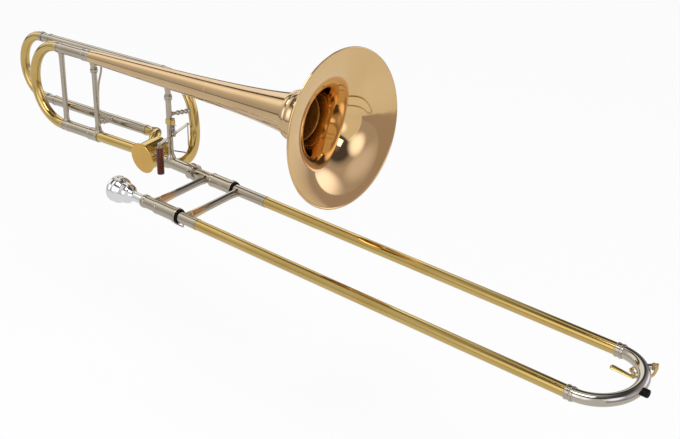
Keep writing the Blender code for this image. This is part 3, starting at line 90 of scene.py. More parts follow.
def tint(name, text, value):
    return FloatVectorProperty(name=name, description=text, default=value, min=0.0, max=1.0, subtype="COLOR")


class TromboneSizes(bpy.types.PropertyGroup):
    """Sizes of the trombone's pieces."""

    rim_radius: length("Rim radius", "Radius of the bell's rim at its rolled wire", 0.1063)
    rim_wire: length("Rim wire", "Radius of the wire rolled into the rim", 0.0013)
    bell_wall: length("Bell wall", "Thickness of the bell's sheet", 0.0008)
    stem_ring: length("Stem ring", "Radius of the screw ring on the stem", 0.0349)
    flare_ring: length("Flare ring", "Radius of the screw ring on the flare", 0.0370)
    neck_tube: length("Neck tube", "Radius of the tube behind the valve", 0.0081)
    gooseneck: length("Gooseneck", "Radius of the tube in front of the valve", 0.0085)
    crook_tube: length("Tuning crook", "Radius of the main tuning crook's tube", 0.0082)
    tuning_leg: length("Tuning leg", "Radius of the tuning slide's legs", 0.00815)
    tuning_sleeve: length("Tuning sleeve", "Radius of the sleeves that hold the legs", 0.0088)
    ferrule: length("Ferrule", "Radius of the ferrules behind stem and neck", 0.0098)
    f_tube: length("Attachment tube", "Radius of the attachment's tubing", 0.0077)
    f_leg: length("Attachment leg", "Radius of the attachment slide's legs", 0.0070)
    casing: length("Valve casing", "Radius of the valve casing", 0.0215)
    cover: length("Valve cover", "Radius of the valve's cover disc", 0.0240)
    outer_tube: length("Outer slide tube", "Radius of the hand slide's tubes", 0.0076)
    inner_tube: length("Inner slide tube", "Radius of the stockings inside them", 0.0070)
    sleeve: length("Slide sleeve", "Radius of the hand slide's rear sleeves", 0.0079)
    barrel: length("Cork barrel", "Radius of the cork barrels", 0.0102)
    barrel_ring: length("Barrel ring", "Radius of the ring at a cork barrel's mouth", 0.0110)
    lock_nut: length("Lock nut", "Radius of the knurled bell lock nut", 0.0121)
    bow: length("Bow", "Radius of the bow's tube", 0.0076)
    bumper: length("Bumper", "Radius of the rubber bumper", 0.0050)
    slide_brace: length("Slide brace", "Radius of a slide brace's rod", 0.0053)
    bell_brace: length("Bell brace", "Radius of a bell brace's rod", 0.0042)
    edge: length("Edge rounding", "How far a turned edge is rounded", 0.0004)
    sides: IntProperty(name="Round steps", description="Faces around a turned piece", default=48, min=16)
    bell_sides: IntProperty(name="Bell steps", description="Faces around the bell", default=128, min=32)
    knurls: IntProperty(name="Knurls", description="Ridges around the lock nut", default=44, min=8)


class TromboneFinishes(bpy.types.PropertyGroup):
    """Colours and gloss of the metals and small parts."""

    yellow_brass: tint("Yellow brass", "Lacquered crooks and slide tubes", (0.64, 0.455, 0.15))
    rose_brass: tint("Rose brass", "Lacquered bell", (0.80, 0.545, 0.255))
    nickel: tint("Nickel silver", "Sleeves, braces and fittings", (0.50, 0.445, 0.36))
    stem_brass: tint("Stem brass", "Lacquered stem and screw rings", (0.66, 0.46, 0.25))
    silver: tint("Silver plate", "Mouthpiece", (0.84, 0.84, 0.84))
    bow_metal: tint("Bow metal", "Bow and water nipple", (0.55, 0.51, 0.43))
    rubber: tint("Rubber", "Bumper and barrel rings", (0.003, 0.003, 0.003))
    cork: tint("Cork", "Water key pad", (0.50, 0.33, 0.18))
    rosewood: tint("Rosewood", "Thumb roller", (0.150, 0.030, 0.008))
    steel: tint("Dark steel", "Springs, screws and linkage", (0.36, 0.35, 0.34))
    bell_gloss: share("Bell roughness", "Roughness of the bell's lacquer", 0.07)
    brass_gloss: share("Brass roughness", "Roughness of the other brass", 0.09)
    nickel_gloss: share("Nickel roughness", "Roughness of the nickel silver", 0.10)
    silver_gloss: share("Silver roughness", "Roughness of the silver plate", 0.05)


class TromboneStudio(bpy.types.PropertyGroup):
    """The floor, light and camera."""

    floor: tint("Floor", "Colour of the pale floor", (0.97, 0.97, 0.97))
    floor_drop: length("Floor drop", "How far the floor lies below the slide", 0.42)
    card: tint("Card", "Tone of the cards round the floor that the metal reflects", (0.410, 0.360, 0.380))
    key_power: FloatProperty(name="Key light", description="Power of the overhead softbox", default=14.0,
                             min=0.0, unit="POWER")
    lens: FloatProperty(name="Lens", description="Focal length on a 36 mm wide sensor, in mm", default=70.09,
                        min=10.0)


SETTINGS = (("trombone_sizes", TromboneSizes), ("trombone_finishes", TromboneFinishes),
            ("trombone_studio", TromboneStudio))


def sizes():
    return bpy.context.scene.trombone_sizes


# Materials

def shader_of(material):
    material.use_nodes = True
    return material.node_tree.nodes["Principled BSDF"]


def node(tree, kind, **values):
    made = tree.nodes.new(kind)
    for name, value in values.items():
        made.inputs[name.replace("_", " ")].default_value = value
    return made


def mottled(tree, shader, colour, other, scale, detail=3.0, low=0.35, high=0.65):
    """Base colour drifting between two tones at the given scale; returns the noise."""
    coordinates = tree.nodes.new("ShaderNodeTexCoord")
    noise = node(tree, "ShaderNodeTexNoise", Scale=scale, Detail=detail)
    tree.links.new(coordinates.outputs["Object"], noise.inputs["Vector"])
    ramp = tree.nodes.new("ShaderNodeValToRGB")
    ramp.color_ramp.elements[0].position = low
    ramp.color_ramp.elements[1].position = high
    ramp.color_ramp.elements[0].color = (*colour, 1)
    ramp.color_ramp.elements[1].color = (*other, 1)
    tree.links.new(noise.outputs["Fac"], ramp.inputs["Fac"])
    tree.links.new(ramp.outputs["Color"], shader.inputs["Base Color"])
    return coordinates, noise


def toned(colour, by):
    return tuple(min(1.0, c * b) for c, b in zip(colour, by))


def uneven_gloss(tree, shader, coordinates, roughness, spread, scale):
    """Roughness that varies a little, as fingerprints and polish do."""
    noise = node(tree, "ShaderNodeTexNoise", Scale=scale, Detail=4.0)
    tree.links.new(coordinates.outputs["Object"], noise.inputs["Vector"])
    spread_out = node(tree, "ShaderNodeMapRange", To_Min=max(0.02, roughness - spread), To_Max=roughness + spread)
    tree.links.new(noise.outputs["Fac"], spread_out.inputs["Value"])
    tree.links.new(spread_out.outputs["Result"], shader.inputs["Roughness"])


def bumped(tree, shader, source, socket, strength, distance):
    bump = node(tree, "ShaderNodeBump", Strength=strength, Distance=distance)
    tree.links.new(source.outputs[socket], bump.inputs["Height"])
    tree.links.new(bump.outputs["Normal"], shader.inputs["Normal"])
    return bump


def polished(name, colour, roughness, drift=(0.90, 0.88, 0.84), ripple=0.02, lacquer=0.0):
    """Polished metal: its tone drifts, its gloss is uneven, and its surface ripples very slightly."""
    material = bpy.data.materials.new(name)
    shader = shader_of(material)
    tree = material.node_tree
    shader.inputs["Metallic"].default_value = 1.0
    shader.inputs["Coat Weight"].default_value = lacquer
    shader.inputs["Coat Roughness"].default_value = 0.04
    coordinates, _ = mottled(tree, shader, colour, toned(colour, drift), 14.0)
    uneven_gloss(tree, shader, coordinates, roughness, roughness * 0.35, 60.0)
    fine = node(tree, "ShaderNodeTexNoise", Scale=38.0, Detail=2.0)
    tree.links.new(coordinates.outputs["Object"], fine.inputs["Vector"])
    bumped(tree, shader, fine, "Fac", ripple, 0.002)
    return material


def spun(name, colour, roughness):
    """Turned metal with fine rings about the piece's own axis."""
    material = polished(name, colour, roughness, lacquer=0.3)
    tree = material.node_tree
    shader = tree.nodes["Principled BSDF"]
    coordinates = tree.nodes["Texture Coordinate"]
    rings = node(tree, "ShaderNodeTexWave", Scale=420.0, Distortion=0.6, Detail=1.0)
    rings.wave_type = "RINGS"
    rings.rings_direction = "Z"
    tree.links.new(coordinates.outputs["Object"], rings.inputs["Vector"])
    bumped(tree, shader, rings, "Fac", 0.12, 0.0003)
    return material


def matte(name, colour, other, roughness, scale, strength, distance, coat=0.0, specular=0.5):
    material = bpy.data.materials.new(name)
    shader = shader_of(material)
    tree = material.node_tree
    shader.inputs["Specular IOR Level"].default_value = specular
    shader.inputs["Coat Weight"].default_value = coat
    shader.inputs["Coat Roughness"].default_value = 0.12
    shader.inputs["Roughness"].default_value = roughness
    coordinates, noise = mottled(tree, shader, colour, other, scale, 6.0)
    bumped(tree, shader, noise, "Fac", strength, distance)
    return material


def wooden(name, colour):
    """Dark polished wood with grain along the piece's own Z."""
    material = matte(name, colour, toned(colour, (0.35, 0.30, 0.30)), 0.30, 90.0, 0.05, 0.0003, coat=0.35,
                     specular=0.2)
    tree = material.node_tree
    coordinates = tree.nodes["Texture Coordinate"]
    noise = tree.nodes["Noise Texture"]
    stretch = tree.nodes.new("ShaderNodeMapping")
    stretch.inputs["Scale"].default_value = (6.0, 6.0, 0.5)
    tree.links.new(coordinates.outputs["Object"], stretch.inputs["Vector"])
    tree.links.new(stretch.outputs["Vector"], noise.inputs["Vector"])
    return material


def finish(name):
    """The named finish, made on first use. The part before the first full stop is its slot."""
    found = bpy.data.materials.get("look_" + name)
    if found:
        return found
    looks = bpy.context.scene.trombone_finishes
    label = "look_" + name
    if name == "rose_brass":
        return polished(label, looks.rose_brass, looks.bell_gloss, (0.95, 0.92, 0.88), 0.010, 0.35)
    if name == "rose_brass.stem":
        return polished(label, looks.stem_brass, looks.bell_gloss * 1.6, (0.94, 0.92, 0.90), 0.030, 0.35)
    # painted shade: the stem's inside is darker and oranger than the bell, standing in for the shade deep in the
    # throat; its higher roughness is the real duller inside
    if name == "rose_brass.inside_painted_shade":
        return polished(label, toned(looks.rose_brass, (0.78, 0.74, 0.44)), 0.38, (0.70, 0.62, 0.50), 0.050)
    if name == "yellow_brass":
        return polished(label, looks.yellow_brass, looks.brass_gloss, (0.90, 0.86, 0.76), 0.008, 0.35)
    if name == "yellow_brass.spun":
        return spun(label, toned(looks.yellow_brass, (1.18, 1.0, 0.70)), looks.brass_gloss * 2)
    if name == "nickel_silver":
        return polished(label, looks.nickel, looks.nickel_gloss, (0.90, 0.89, 0.87), 0.025)
    if name == "silver_plate":
        return polished(label, looks.silver, looks.silver_gloss, (0.93, 0.92, 0.90), 0.008)
    if name == "silver_plate.bow":
        return polished(label, looks.bow_metal, looks.silver_gloss, (0.93, 0.92, 0.90), 0.008)
    if name == "dark_steel":
        return polished(label, looks.steel, looks.nickel_gloss * 1.4, (0.80, 0.80, 0.82), 0.020)
    if name == "black_rubber":
        return matte(label, looks.rubber, toned(looks.rubber, (2.4, 2.4, 2.4)), 0.60, 260.0, 0.15, 0.0002,
                     specular=0.12)
    if name == "cork":
        return matte(label, looks.cork, toned(looks.cork, (0.45, 0.40, 0.35)), 0.85, 900.0, 0.5, 0.0003)
    if name == "rosewood":
        return wooden(label, looks.rosewood)
    raise RuntimeError(f"there is no finish named {name}")


# Meshes

def rounded(outline, size, closed=False, steps=4):
    """The outline with each sharp corner turned into a small arc."""
    count = len(outline)
    made = []
    for i, corner in enumerate(outline):
        here = Vector(corner)
        if not closed and i in (0, count - 1):
            made.append(tuple(here))
            continue
        back = Vector(outline[i - 1]) - here
        ahead = Vector(outline[(i + 1) % count]) - here
        if back.length < 1e-7 or ahead.length < 1e-7:
            continue
        if back.angle(ahead) > math.radians(155):
            made.append(tuple(here))
            continue
        start = here + back.normalized() * min(size, 0.45 * back.length)
        end = here + ahead.normalized() * min(size, 0.45 * ahead.length)
        for k in range(steps + 1):
            t = k / steps
            made.append(tuple((1 - t) ** 2 * start + 2 * t * (1 - t) * here + t * t * end))
    return made


def skin_between(shape, before, after):
    """Faces between two rings of corners, where a ring of one corner is a point on the axis."""
    many = max(len(before), len(after))
    for i in range(many):
        j = (i + 1) % many
        corners = [before[i % len(before)], before[j % len(before)], after[j % len(after)], after[i % len(after)]]
        face = []
        for corner in corners:
            if corner not in face:
                face.append(corner)
        if len(face) > 2:
            shape.faces.new(face)


def lathe(name, outline, sides, closed=False, ridges=(), depth=0.0):
    """A turned mesh about its own Z from (along, radius) pairs. ridges are (from, to) stretches with a knurl."""
    shape = bmesh.new()
    rings = []
    for along, radius in outline:
        if radius < 1e-7:
            rings.append([shape.verts.new((0, 0, along))])
            continue
        knurled = any(low < along < high for low, high in ridges)
        ring = []
        for i in range(sides):
            turn = 2 * math.pi * i / sides
            reach = radius - (depth if knurled and i % 2 else 0)
            ring.append(shape.verts.new((reach * math.cos(turn), reach * math.sin(turn), along)))
        rings.append(ring)
    pairs = list(zip(rings, rings[1:]))
    if closed:
        pairs.append((rings[-1], rings[0]))
    for before, after in pairs:
        skin_between(shape, before, after)
    return meshed(name, shape)


def meshed(name, shape):
    bmesh.ops.recalc_face_normals(shape, faces=shape.faces)
    mesh = bpy.data.meshes.new(name)
    shape.to_mesh(mesh)
    shape.free()
    mesh.shade_smooth()
    return mesh


def smooth_route(points, steps=6):
    """Points on a smooth curve through the given ones."""
    route = []
    for i in range(len(points) - 1):
        before = points[max(i - 1, 0)]
        start = points[i]
        end = points[i + 1]
        after = points[min(i + 2, len(points) - 1)]
        for k in range(steps):
            t = k / steps
            route.append(0.5 * ((2 * start) + (end - before) * t
                                + (2 * before - 5 * start + 4 * end - after) * t * t
                                + (3 * start - before - 3 * end + after) * t ** 3))
    return route + [points[-1]]


def arc(centre, across, up, start, end, steps=40):
    turns = [math.radians(start + (end - start) * i / steps) for i in range(steps + 1)]
    return [centre + math.cos(t) * across + math.sin(t) * up for t in turns]


def swept(name, route, radius, sides, flat=1.0, up=None):
    """A round bar along the route with its ends closed; flat squashes it across up. radius may be a list."""
    radii = radius if isinstance(radius, list) else [radius] * len(route)
    shape = bmesh.new()
    last = len(route) - 1
    ways = [(route[min(i + 1, last)] - route[max(i - 1, 0)]).normalized() for i in range(last + 1)]
    side = (up or (Z if abs(ways[0].z) < 0.9 else X)).cross(ways[0]).normalized()
    rings = []
    for point, way, wide in zip(route, ways, radii):
        side = (side - way * side.dot(way)).normalized()
        rise = way.cross(side)
        ring = []
        for i in range(sides):
            turn = 2 * math.pi * i / sides
            ring.append(shape.verts.new(point + wide * (math.cos(turn) * side + flat * math.sin(turn) * rise)))
        rings.append(ring)
    for before, after in zip(rings, rings[1:]):
        skin_between(shape, before, after)
    for ring in (rings[0], rings[-1]):
        shape.faces.new(ring)
    return meshed(name, shape)


def aimed(home, at, way):
    """A place at the point at in the frame home, with its own Z along way."""
    return home @ Matrix.Translation(at) @ Z.rotation_difference(Vector(way)).to_matrix().to_4x4()


def placed(name, mesh, home, body, look, replaced=()):
    """Puts a mesh in the scene as a piece on its body, in the look, standing for the frame's nodes."""
    spot, turn, _ = home.decompose()
    mesh.transform(turn.to_matrix().to_4x4())
    piece = bpy.data.objects.new(name, mesh)
    bpy.context.scene.collection.objects.link(piece)
    piece.location = spot
    mesh.materials.append(finish(look))
    even = piece.modifiers.new("even shading", "WEIGHTED_NORMAL")
    even.weight = 100
    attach(piece, body)
    if replaced:
        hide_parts(*replaced)
    return piece


def turned(name, outline, home, at, way, body, look, replaced=(), closed=False, sides=None, edge=None, **knurl):
    """A turned piece with rounded edges. outline holds (along, radius) pairs from the rear to the front."""
    size = sizes()
    if not closed:
        outline = [(outline[0][0], 0.0)] + list(outline) + [(outline[-1][0], 0.0)]
    outline = rounded(outline, size.edge if edge is None else edge, closed)
    mesh = lathe(name, outline, sides or size.sides, closed, **knurl)
    return placed(name, mesh, aimed(home, at, way), body, look, replaced)


def tube(name, rear, front, radius, home, at, body, look, replaced=(), wall=0.0006):
    """A straight open tube along X with a rolled edge at each end."""
    outline = [(rear, radius), (front, radius), (front, radius - wall), (rear, radius - wall)]
    return turned(name, outline, home, at, X, body, look, replaced, closed=True, edge=wall * 0.45)


def dress(look, *names):
    """Gives CAD nodes that stay in view one of the finishes."""
    for name in names:
        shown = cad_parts[name]
        shown.data.materials.clear()
        shown.data.materials.append(finish(look))


# Bell shape

RIM_X = 0.3855
WAIST_X = 0.080
WAIST_RADIUS = 0.0157
HORN_POWER = 0.5476
STEM_REAR = -0.124
STEM_REAR_RADIUS = 0.0103
RING_X = 0.2985


def horn(x):
    """Outer radius of the bell at a place on its axis."""
    if x < WAIST_X:
        part = (x - STEM_REAR) / (WAIST_X - STEM_REAR)
        return STEM_REAR_RADIUS + part * (WAIST_RADIUS - STEM_REAR_RADIUS)
    rim = sizes().rim_radius
    shrink = (WAIST_RADIUS / rim) ** (1 / HORN_POWER)
    pole = (RIM_X - WAIST_X * shrink) / (1 - shrink)
    return WAIST_RADIUS * ((pole - WAIST_X) / (pole - x)) ** HORN_POWER


def horn_inside(x):
    slope = (horn(x) - horn(x - 1e-5)) / 1e-5
    tilt = math.hypot(1, slope)
    wall = sizes().bell_wall
    return (x + wall * slope / tilt, horn(x) - wall / tilt)


def horn_places(rear, front, count):
    """Places along the horn at even growth of its radius."""
    places = []
    for i in range(count + 1):
        wanted = horn(rear) * (horn(front) / horn(rear)) ** (i / count)
        low, high = rear, front
        for _ in range(40):
            middle = (low + high) / 2
            low, high = (middle, high) if horn(middle) < wanted else (low, middle)
        places.append((low + high) / 2)
    return places


class TROMBONE_OT_bell_flare(bpy.types.Operator):
    """The spun flare with its rolled rim wire and the screw ring behind it"""

    bl_idname = "trombone.bell_flare"
    bl_label = "Bell flare"

    def execute(self, context):
        size = sizes()
        places = [0.3135] + horn_places(0.3205, RIM_X, 60)
        wire = size.rim_wire
        turns = [math.radians(a) for a in range(-60, 151, 15)]
        bead = [(RIM_X + wire * math.sin(t), size.rim_radius + wire * math.cos(t)) for t in turns]
        outline = [(x, horn(x)) for x in places[:-1]] + bead
        outline += [horn_inside(x) for x in reversed(places[:-1])]
        mesh = lathe("flare_skin", outline, size.bell_sides, closed=True)
        placed("flare_skin", mesh, aimed(BELL, STEM, X), "bell_flare", "rose_brass", ["bell_flare"])
        ring = size.flare_ring
        outline = [(0.3093, ring - 0.0016), (0.3105, ring - 0.0002), (0.3135, ring), (0.3165, ring - 0.0004),
                   (0.3190, ring - 0.0012), (0.3205, horn(0.3205) + 0.0009), (0.3212, horn(0.3212) + 0.0001),
                   (0.3190, horn(0.3190) - 0.0002), (0.3138, horn(0.3138) - 0.0002), (0.3138, 0.0350), (0.3093, 0.0350)]
        turned("flare_screw_ring", outline, BELL, STEM, X, "bell_flare", "rose_brass.stem", ["flare_ring"],
               closed=True, sides=size.bell_sides)
        return {"FINISHED"}


def paint_inside_shade(skin, home):
    """Gives the faces that look towards the bell's axis a rougher brass in a darker, oranger tone, which is painted
    shade for the deep inside of the stem.
    """
    skin.data.materials.append(finish("rose_brass.inside_painted_shade"))
    way = home.to_3x3() @ Z
    for face in skin.data.polygons:
        out = skin.matrix_basis @ face.center - home.translation
        out -= way * out.dot(way)
        if out.dot(face.normal) < 0:
            face.material_index = 1


class TROMBONE_OT_bell_stem(bpy.types.Operator):
    """The tapered bell stem, its seam band and the screw ring at its front"""

    bl_idname = "trombone.bell_stem"
    bl_label = "Bell stem"

    def execute(self, context):
        size = sizes()
        places = [STEM_REAR + 0.0003 + i * 0.0204 for i in range(11)] + horn_places(WAIST_X + 0.002, 0.3129, 44)
        wall = size.bell_wall
        outline = [(-0.1325, 0.0088)] + [(STEM_REAR + 0.0003, 0.0088)] + [(x, horn(x)) for x in places]
        outline += [(x, horn(x) - wall) for x in reversed(places)] + [(-0.1325, 0.0080)]
        mesh = lathe("stem_skin", outline, size.bell_sides, closed=True)
        skin = placed("stem_skin", mesh, aimed(BELL, STEM, X), "bell_section", "rose_brass.stem", ["bell_stem"])
        # the stem's inside gets painted shade
        paint_inside_shade(skin, aimed(BELL, STEM, X))
        seam = 0.1390
        outline = [(seam - 0.0012, horn(seam - 0.0012) - 0.0002), (seam - 0.0006, horn(seam) + 0.00012),
                   (seam + 0.0006, horn(seam) + 0.00014), (seam + 0.0012, horn(seam + 0.0012) - 0.0002)]
        turned("stem_seam_band", outline, BELL, STEM, X, "bell_section", "rose_brass.stem", edge=0.0001,
               closed=True, sides=size.bell_sides)
        ring = size.stem_ring
        outline = [(RING_X, horn(RING_X) + 0.0001), (RING_X, ring - 0.0022), (RING_X + 0.0012, ring - 0.0006),
                   (RING_X + 0.0035, ring), (RING_X + 0.0070, ring), (RING_X + 0.0092, ring - 0.0007),
                   (RING_X + 0.0104, ring - 0.0016), (RING_X + 0.0104, 0.0344), (0.3132, 0.0344),
                   (0.3132, horn(0.3132) + 0.0002), (0.3060, horn(0.3060) - 0.0002)]
        turned("stem_screw_ring", outline, BELL, STEM, X, "bell_section", "rose_brass.stem", ["stem_ring"],
               closed=True, sides=size.bell_sides)
        return {"FINISHED"}


class TROMBONE_OT_ferrules(bpy.types.Operator):
    """The banded ferrules behind stem and neck, and the fixed sleeves of the main tuning slide"""

    bl_idname = "trombone.ferrules"
    bl_label = "Ferrules and tuning sleeves"

    def execute(self, context):
        size = sizes()
        ring = size.ferrule
        for name, at, rear, front, node_name in (
            ("stem_band", STEM, -0.143, -0.124, "bell_ferrule"), ("neck_band", FAR, -0.141, -0.119, "neck_ferrule"),
        ):
            outline = [(rear, 0.0082), (rear, ring - 0.0005), (rear + 0.0004, ring), (rear + 0.0022, ring),
                       (rear + 0.0026, ring - 0.0006), (rear + 0.0036, ring - 0.0006), (rear + 0.0040, ring - 0.0002),
                       (front - 0.0040, ring - 0.0002), (front - 0.0036, ring - 0.0006),
                       (front - 0.0026, ring - 0.0006), (front - 0.0022, ring), (front - 0.0004, ring),
                       (front, ring - 0.0005), (front, 0.0082)]
            turned(name, outline, BELL, at, X, "bell_section", "nickel_silver", [node_name], closed=True, edge=0.0003)
        for name, at, node_name in (("upper_sleeve_tube", STEM, "upper_tuning_sleeve"),
                                    ("lower_sleeve_tube", FAR, "lower_tuning_sleeve")):
            sleeve = size.tuning_sleeve
            outline = [(-0.195, size.tuning_leg + 0.0001), (-0.195, sleeve + 0.0003), (-0.1935, sleeve + 0.0003),
                       (-0.1932, sleeve), (-0.1328, sleeve), (-0.1328, size.tuning_leg + 0.0001)]
            turned(name, outline, BELL, at, X, "bell_section", "nickel_silver", [node_name], closed=True, edge=0.00015)
        return {"FINISHED"}


class TROMBONE_OT_tuning_slide(bpy.types.Operator):
    """The main tuning slide: crook, legs and brace"""

    bl_idname = "trombone.tuning_slide"
    bl_label = "Main tuning slide"

    def execute(self, context):
        size = sizes()
        middle = LIFT / 2
        centre = Vector((-0.210, 0, middle))
        bend = arc(centre, middle * X, middle * Z, 90, 270, 64)
        route = [bend[0] + 0.0037 * X] + bend + [bend[-1] + 0.0037 * X]
        mesh = swept("tuning_bend", route, size.crook_tube, size.sides)
        placed("tuning_bend", mesh, BELL, "main_tuning_slide", "yellow_brass", ["tuning_crook"])
        for name, at, node_name in (("upper_leg_tube", STEM, "upper_tuning_leg"), ("lower_leg_tube", FAR, "lower_tuning_leg")):
            tube(name, -0.2062, -0.1385, size.tuning_leg, BELL, at, "main_tuning_slide", "nickel_silver", [node_name])
            outline = [(-0.2075, 0.0080), (-0.2075, 0.0087), (-0.2040, 0.0087), (-0.2040, 0.0080)]
            turned(name + "_band", outline, BELL, at, X, "main_tuning_slide", "nickel_silver", closed=True, edge=0.0003)
        foot = 0.0050
        outline = [(0.006, foot), (0.0105, foot), (0.0112, foot - 0.0004), (0.0135, foot - 0.0005), (0.0200, 0.0043),
                   (LIFT / 2, 0.0041), (LIFT - 0.0200, 0.0043), (LIFT - 0.0135, foot - 0.0005),
                   (LIFT - 0.0112, foot - 0.0004), (LIFT - 0.0105, foot), (LIFT - 0.006, foot)]
        turned("tuning_post", outline, BELL, Vector((-0.2004, 0, 0)), Z, "main_tuning_slide", "nickel_silver",
               ["tuning_brace"])
        return {"FINISHED"}


ELBOW = [(-0.044, F_SIDE, 0.018), (-0.038, F_SIDE, 0.018), (-0.0300, 0.0337, 0.0192), (-0.0230, 0.0320, 0.0210),
         (-0.0168, 0.0282, 0.0222), (-0.0120, 0.0226, 0.0222), (-0.0088, 0.0162, 0.0200), (-0.0062, 0.0106, 0.0150),
         (-0.0042, 0.0066, 0.0100)]
DROP = [(0.0, F_SIDE, 0.1216), (0.0040, F_SIDE, 0.1216), (0.0135, F_SIDE, 0.1206), (0.0245, F_SIDE, 0.1170),
        (0.0370, F_SIDE, 0.1096), (0.0475, F_SIDE, 0.0991), (0.0555, F_SIDE, 0.0856), (0.0605, F_SIDE, 0.0696),
        (0.0627, F_SIDE, 0.0526), (0.0625, F_SIDE, 0.0356), (0.0595, F_SIDE, 0.0196), (0.0540, F_SIDE, 0.0066),
        (0.0465, 0.0336, -0.0039), (0.0380, 0.0318, -0.0114), (0.0300, 0.0280, -0.0154), (0.0232, 0.0225, -0.0159),
        (0.0180, 0.0170, -0.0152), (0.0140, 0.0118, -0.0119), (0.0108, 0.0072, -0.0079)]


class TROMBONE_OT_attachment(bpy.types.Operator):
    """The attachment's fixed tubes, elbow, front crook and strut"""

    bl_idname = "trombone.attachment"
    bl_label = "Attachment tubing"

    def execute(self, context):
        size = sizes()
        radius = size.f_tube
        for name, at, front, node_name in (("high_tube", F_HIGH, -0.0003, "f_upper_tube"),
                                           ("low_tube", F_LOW, -0.0443, "f_lower_tube")):
            tube(name, -0.273, front, radius, BELL, at, "bell_section", "nickel_silver", [node_name])
            for at_x in (-0.273, front - 0.004):
                outline = [(at_x, radius - 0.0002), (at_x, radius + 0.0005), (at_x + 0.0035, radius + 0.0005),
                           (at_x + 0.0035, radius - 0.0002)]
                turned(f"{name}_band{abs(round(at_x * 1000))}", outline, BELL, at, X, "bell_section",
                       "nickel_silver", closed=True, edge=0.0003)
        for name, points, node_name in (("elbow_tube", ELBOW, "f_elbow"), ("front_bend", DROP, "f_front_crook")):
            route = smooth_route([Vector(p) for p in points])
            mesh = swept(name, route, radius - 0.00015, size.sides)
            placed(name, mesh, BELL, "bell_section", "yellow_brass", [node_name])
        strut = [(-0.1450, F_SIDE, 0.1142), (-0.1462, F_SIDE, 0.1050), (-0.1490, F_SIDE, 0.0900),
                 (-0.1565, F_SIDE, 0.0700), (-0.1598, F_SIDE, 0.0500), (-0.1615, F_SIDE, 0.0255)]
        mesh = swept("strut_wire", smooth_route([Vector(p) for p in strut]), 0.0017, 16)
        placed("strut_wire", mesh, BELL, "bell_section", "nickel_silver", ["f_strut"])
        for name, x, z in (("strut_foot_high", -0.1450, 0.1141), ("strut_foot_low", -0.1615, 0.0252)):
            outline = [(-0.0009, 0.0034), (0.0009, 0.0026)] if z < 0.1 else [(-0.0009, 0.0026), (0.0009, 0.0034)]
            turned(name, outline, BELL, Vector((x, F_SIDE, z)), Z, "bell_section", "nickel_silver")
        return {"FINISHED"}


class TROMBONE_OT_attachment_slide(bpy.types.Operator):
    """The attachment's rear crook and the two legs that slide with it"""

    bl_idname = "trombone.attachment_slide"
    bl_label = "Attachment tuning slide"

    def execute(self, context):
        size = sizes()
        radius = (F_HIGH.z - F_LOW.z) / 2
        centre = Vector((-0.2950, F_SIDE, F_LOW.z + radius))
        bend = arc(centre, radius * X, radius * Z, 90, 270, 64)
        route = [bend[0] + 0.0025 * X] + bend + [bend[-1] + 0.0025 * X]
        mesh = swept("rear_bend", route, size.f_tube - 0.00015, size.sides)
        placed("rear_bend", mesh, BELL, "f_tuning_slide", "yellow_brass", ["f_rear_crook"])
        for name, at, node_name in (("high_leg_tube", F_HIGH, "f_upper_leg"), ("low_leg_tube", F_LOW, "f_lower_leg")):
            tube(name, -0.2947, -0.205, size.f_leg, BELL, at, "f_tuning_slide", "nickel_silver", [node_name])
            ring = size.f_tube + 0.0005
            outline = [(-0.2960, ring - 0.0007), (-0.2960, ring), (-0.2895, ring), (-0.2895, size.f_leg - 0.0001)]
            turned(name + "_band", outline, BELL, at, X, "f_tuning_slide", "nickel_silver", edge=0.0003)
        return {"FINISHED"}


class TROMBONE_OT_neck(bpy.types.Operator):
    """The neck tube behind the valve and the gooseneck before it"""

    bl_idname = "trombone.neck"
    bl_label = "Neck and gooseneck"

    def execute(self, context):
        size = sizes()
        tube("neck_pipe", -0.1322, -0.0130, size.neck_tube, BELL, FAR, "bell_section", "yellow_brass", ["neck_tube"])
        ring = size.neck_tube
        outline = [(-0.0235, ring - 0.0003), (-0.0235, ring + 0.0010), (-0.0150, ring + 0.0014), (-0.0150, ring - 0.0003)]
        turned("neck_knuckle", outline, BELL, FAR, X, "bell_section", "yellow_brass", closed=True)
        tube("goose_pipe", -0.1010, -0.0265, size.gooseneck, SLIDE, FAR, "bell_section", "nickel_silver", ["gooseneck"])
        outline = [(-0.0955, 0.0080), (-0.0955, 0.0100), (-0.0900, 0.0096), (-0.0885, 0.0080)]
        turned("goose_knuckle", outline, SLIDE, FAR, X, "bell_section", "yellow_brass", closed=True)
        return {"FINISHED"}


class TROMBONE_OT_valve(bpy.types.Operator):
    """The rotary valve: casing, cover disc, back bearing, rotor and arm"""

    bl_idname = "trombone.valve"
    bl_label = "Rotary valve"

    def execute(self, context):
        size = sizes()
        ring = size.casing
        outline = [(-0.0170, ring), (-0.0145, ring), (-0.0140, ring - 0.0004), (0.0155, ring - 0.0004),
                   (0.0160, ring), (0.0190, ring), (0.0190, 0.0085), (0.0215, 0.0080), (0.0220, 0.0060),
                   (0.0275, 0.0058)]
        turned("casing_shell", outline, VALVE, (0, 0, 0), Z, "bell_section", "yellow_brass", ["valve_casing"],
               sides=size.bell_sides)
        edge = size.cover
        outline = [(-0.0203, edge - 0.0022), (-0.0203, edge - 0.0010), (-0.0196, edge), (-0.0180, edge),
                   (-0.0176, edge - 0.0004), (-0.0173, edge - 0.0004)]
        turned("cover_disc", outline, VALVE, (0, 0, 0), Z, "bell_section", "yellow_brass.spun", ["valve_cover"],
               sides=size.bell_sides)
        dress("yellow_brass", "valve_rotor", "rotor_arm")
        dress("dark_steel", "linkage_rod")
        return {"FINISHED"}


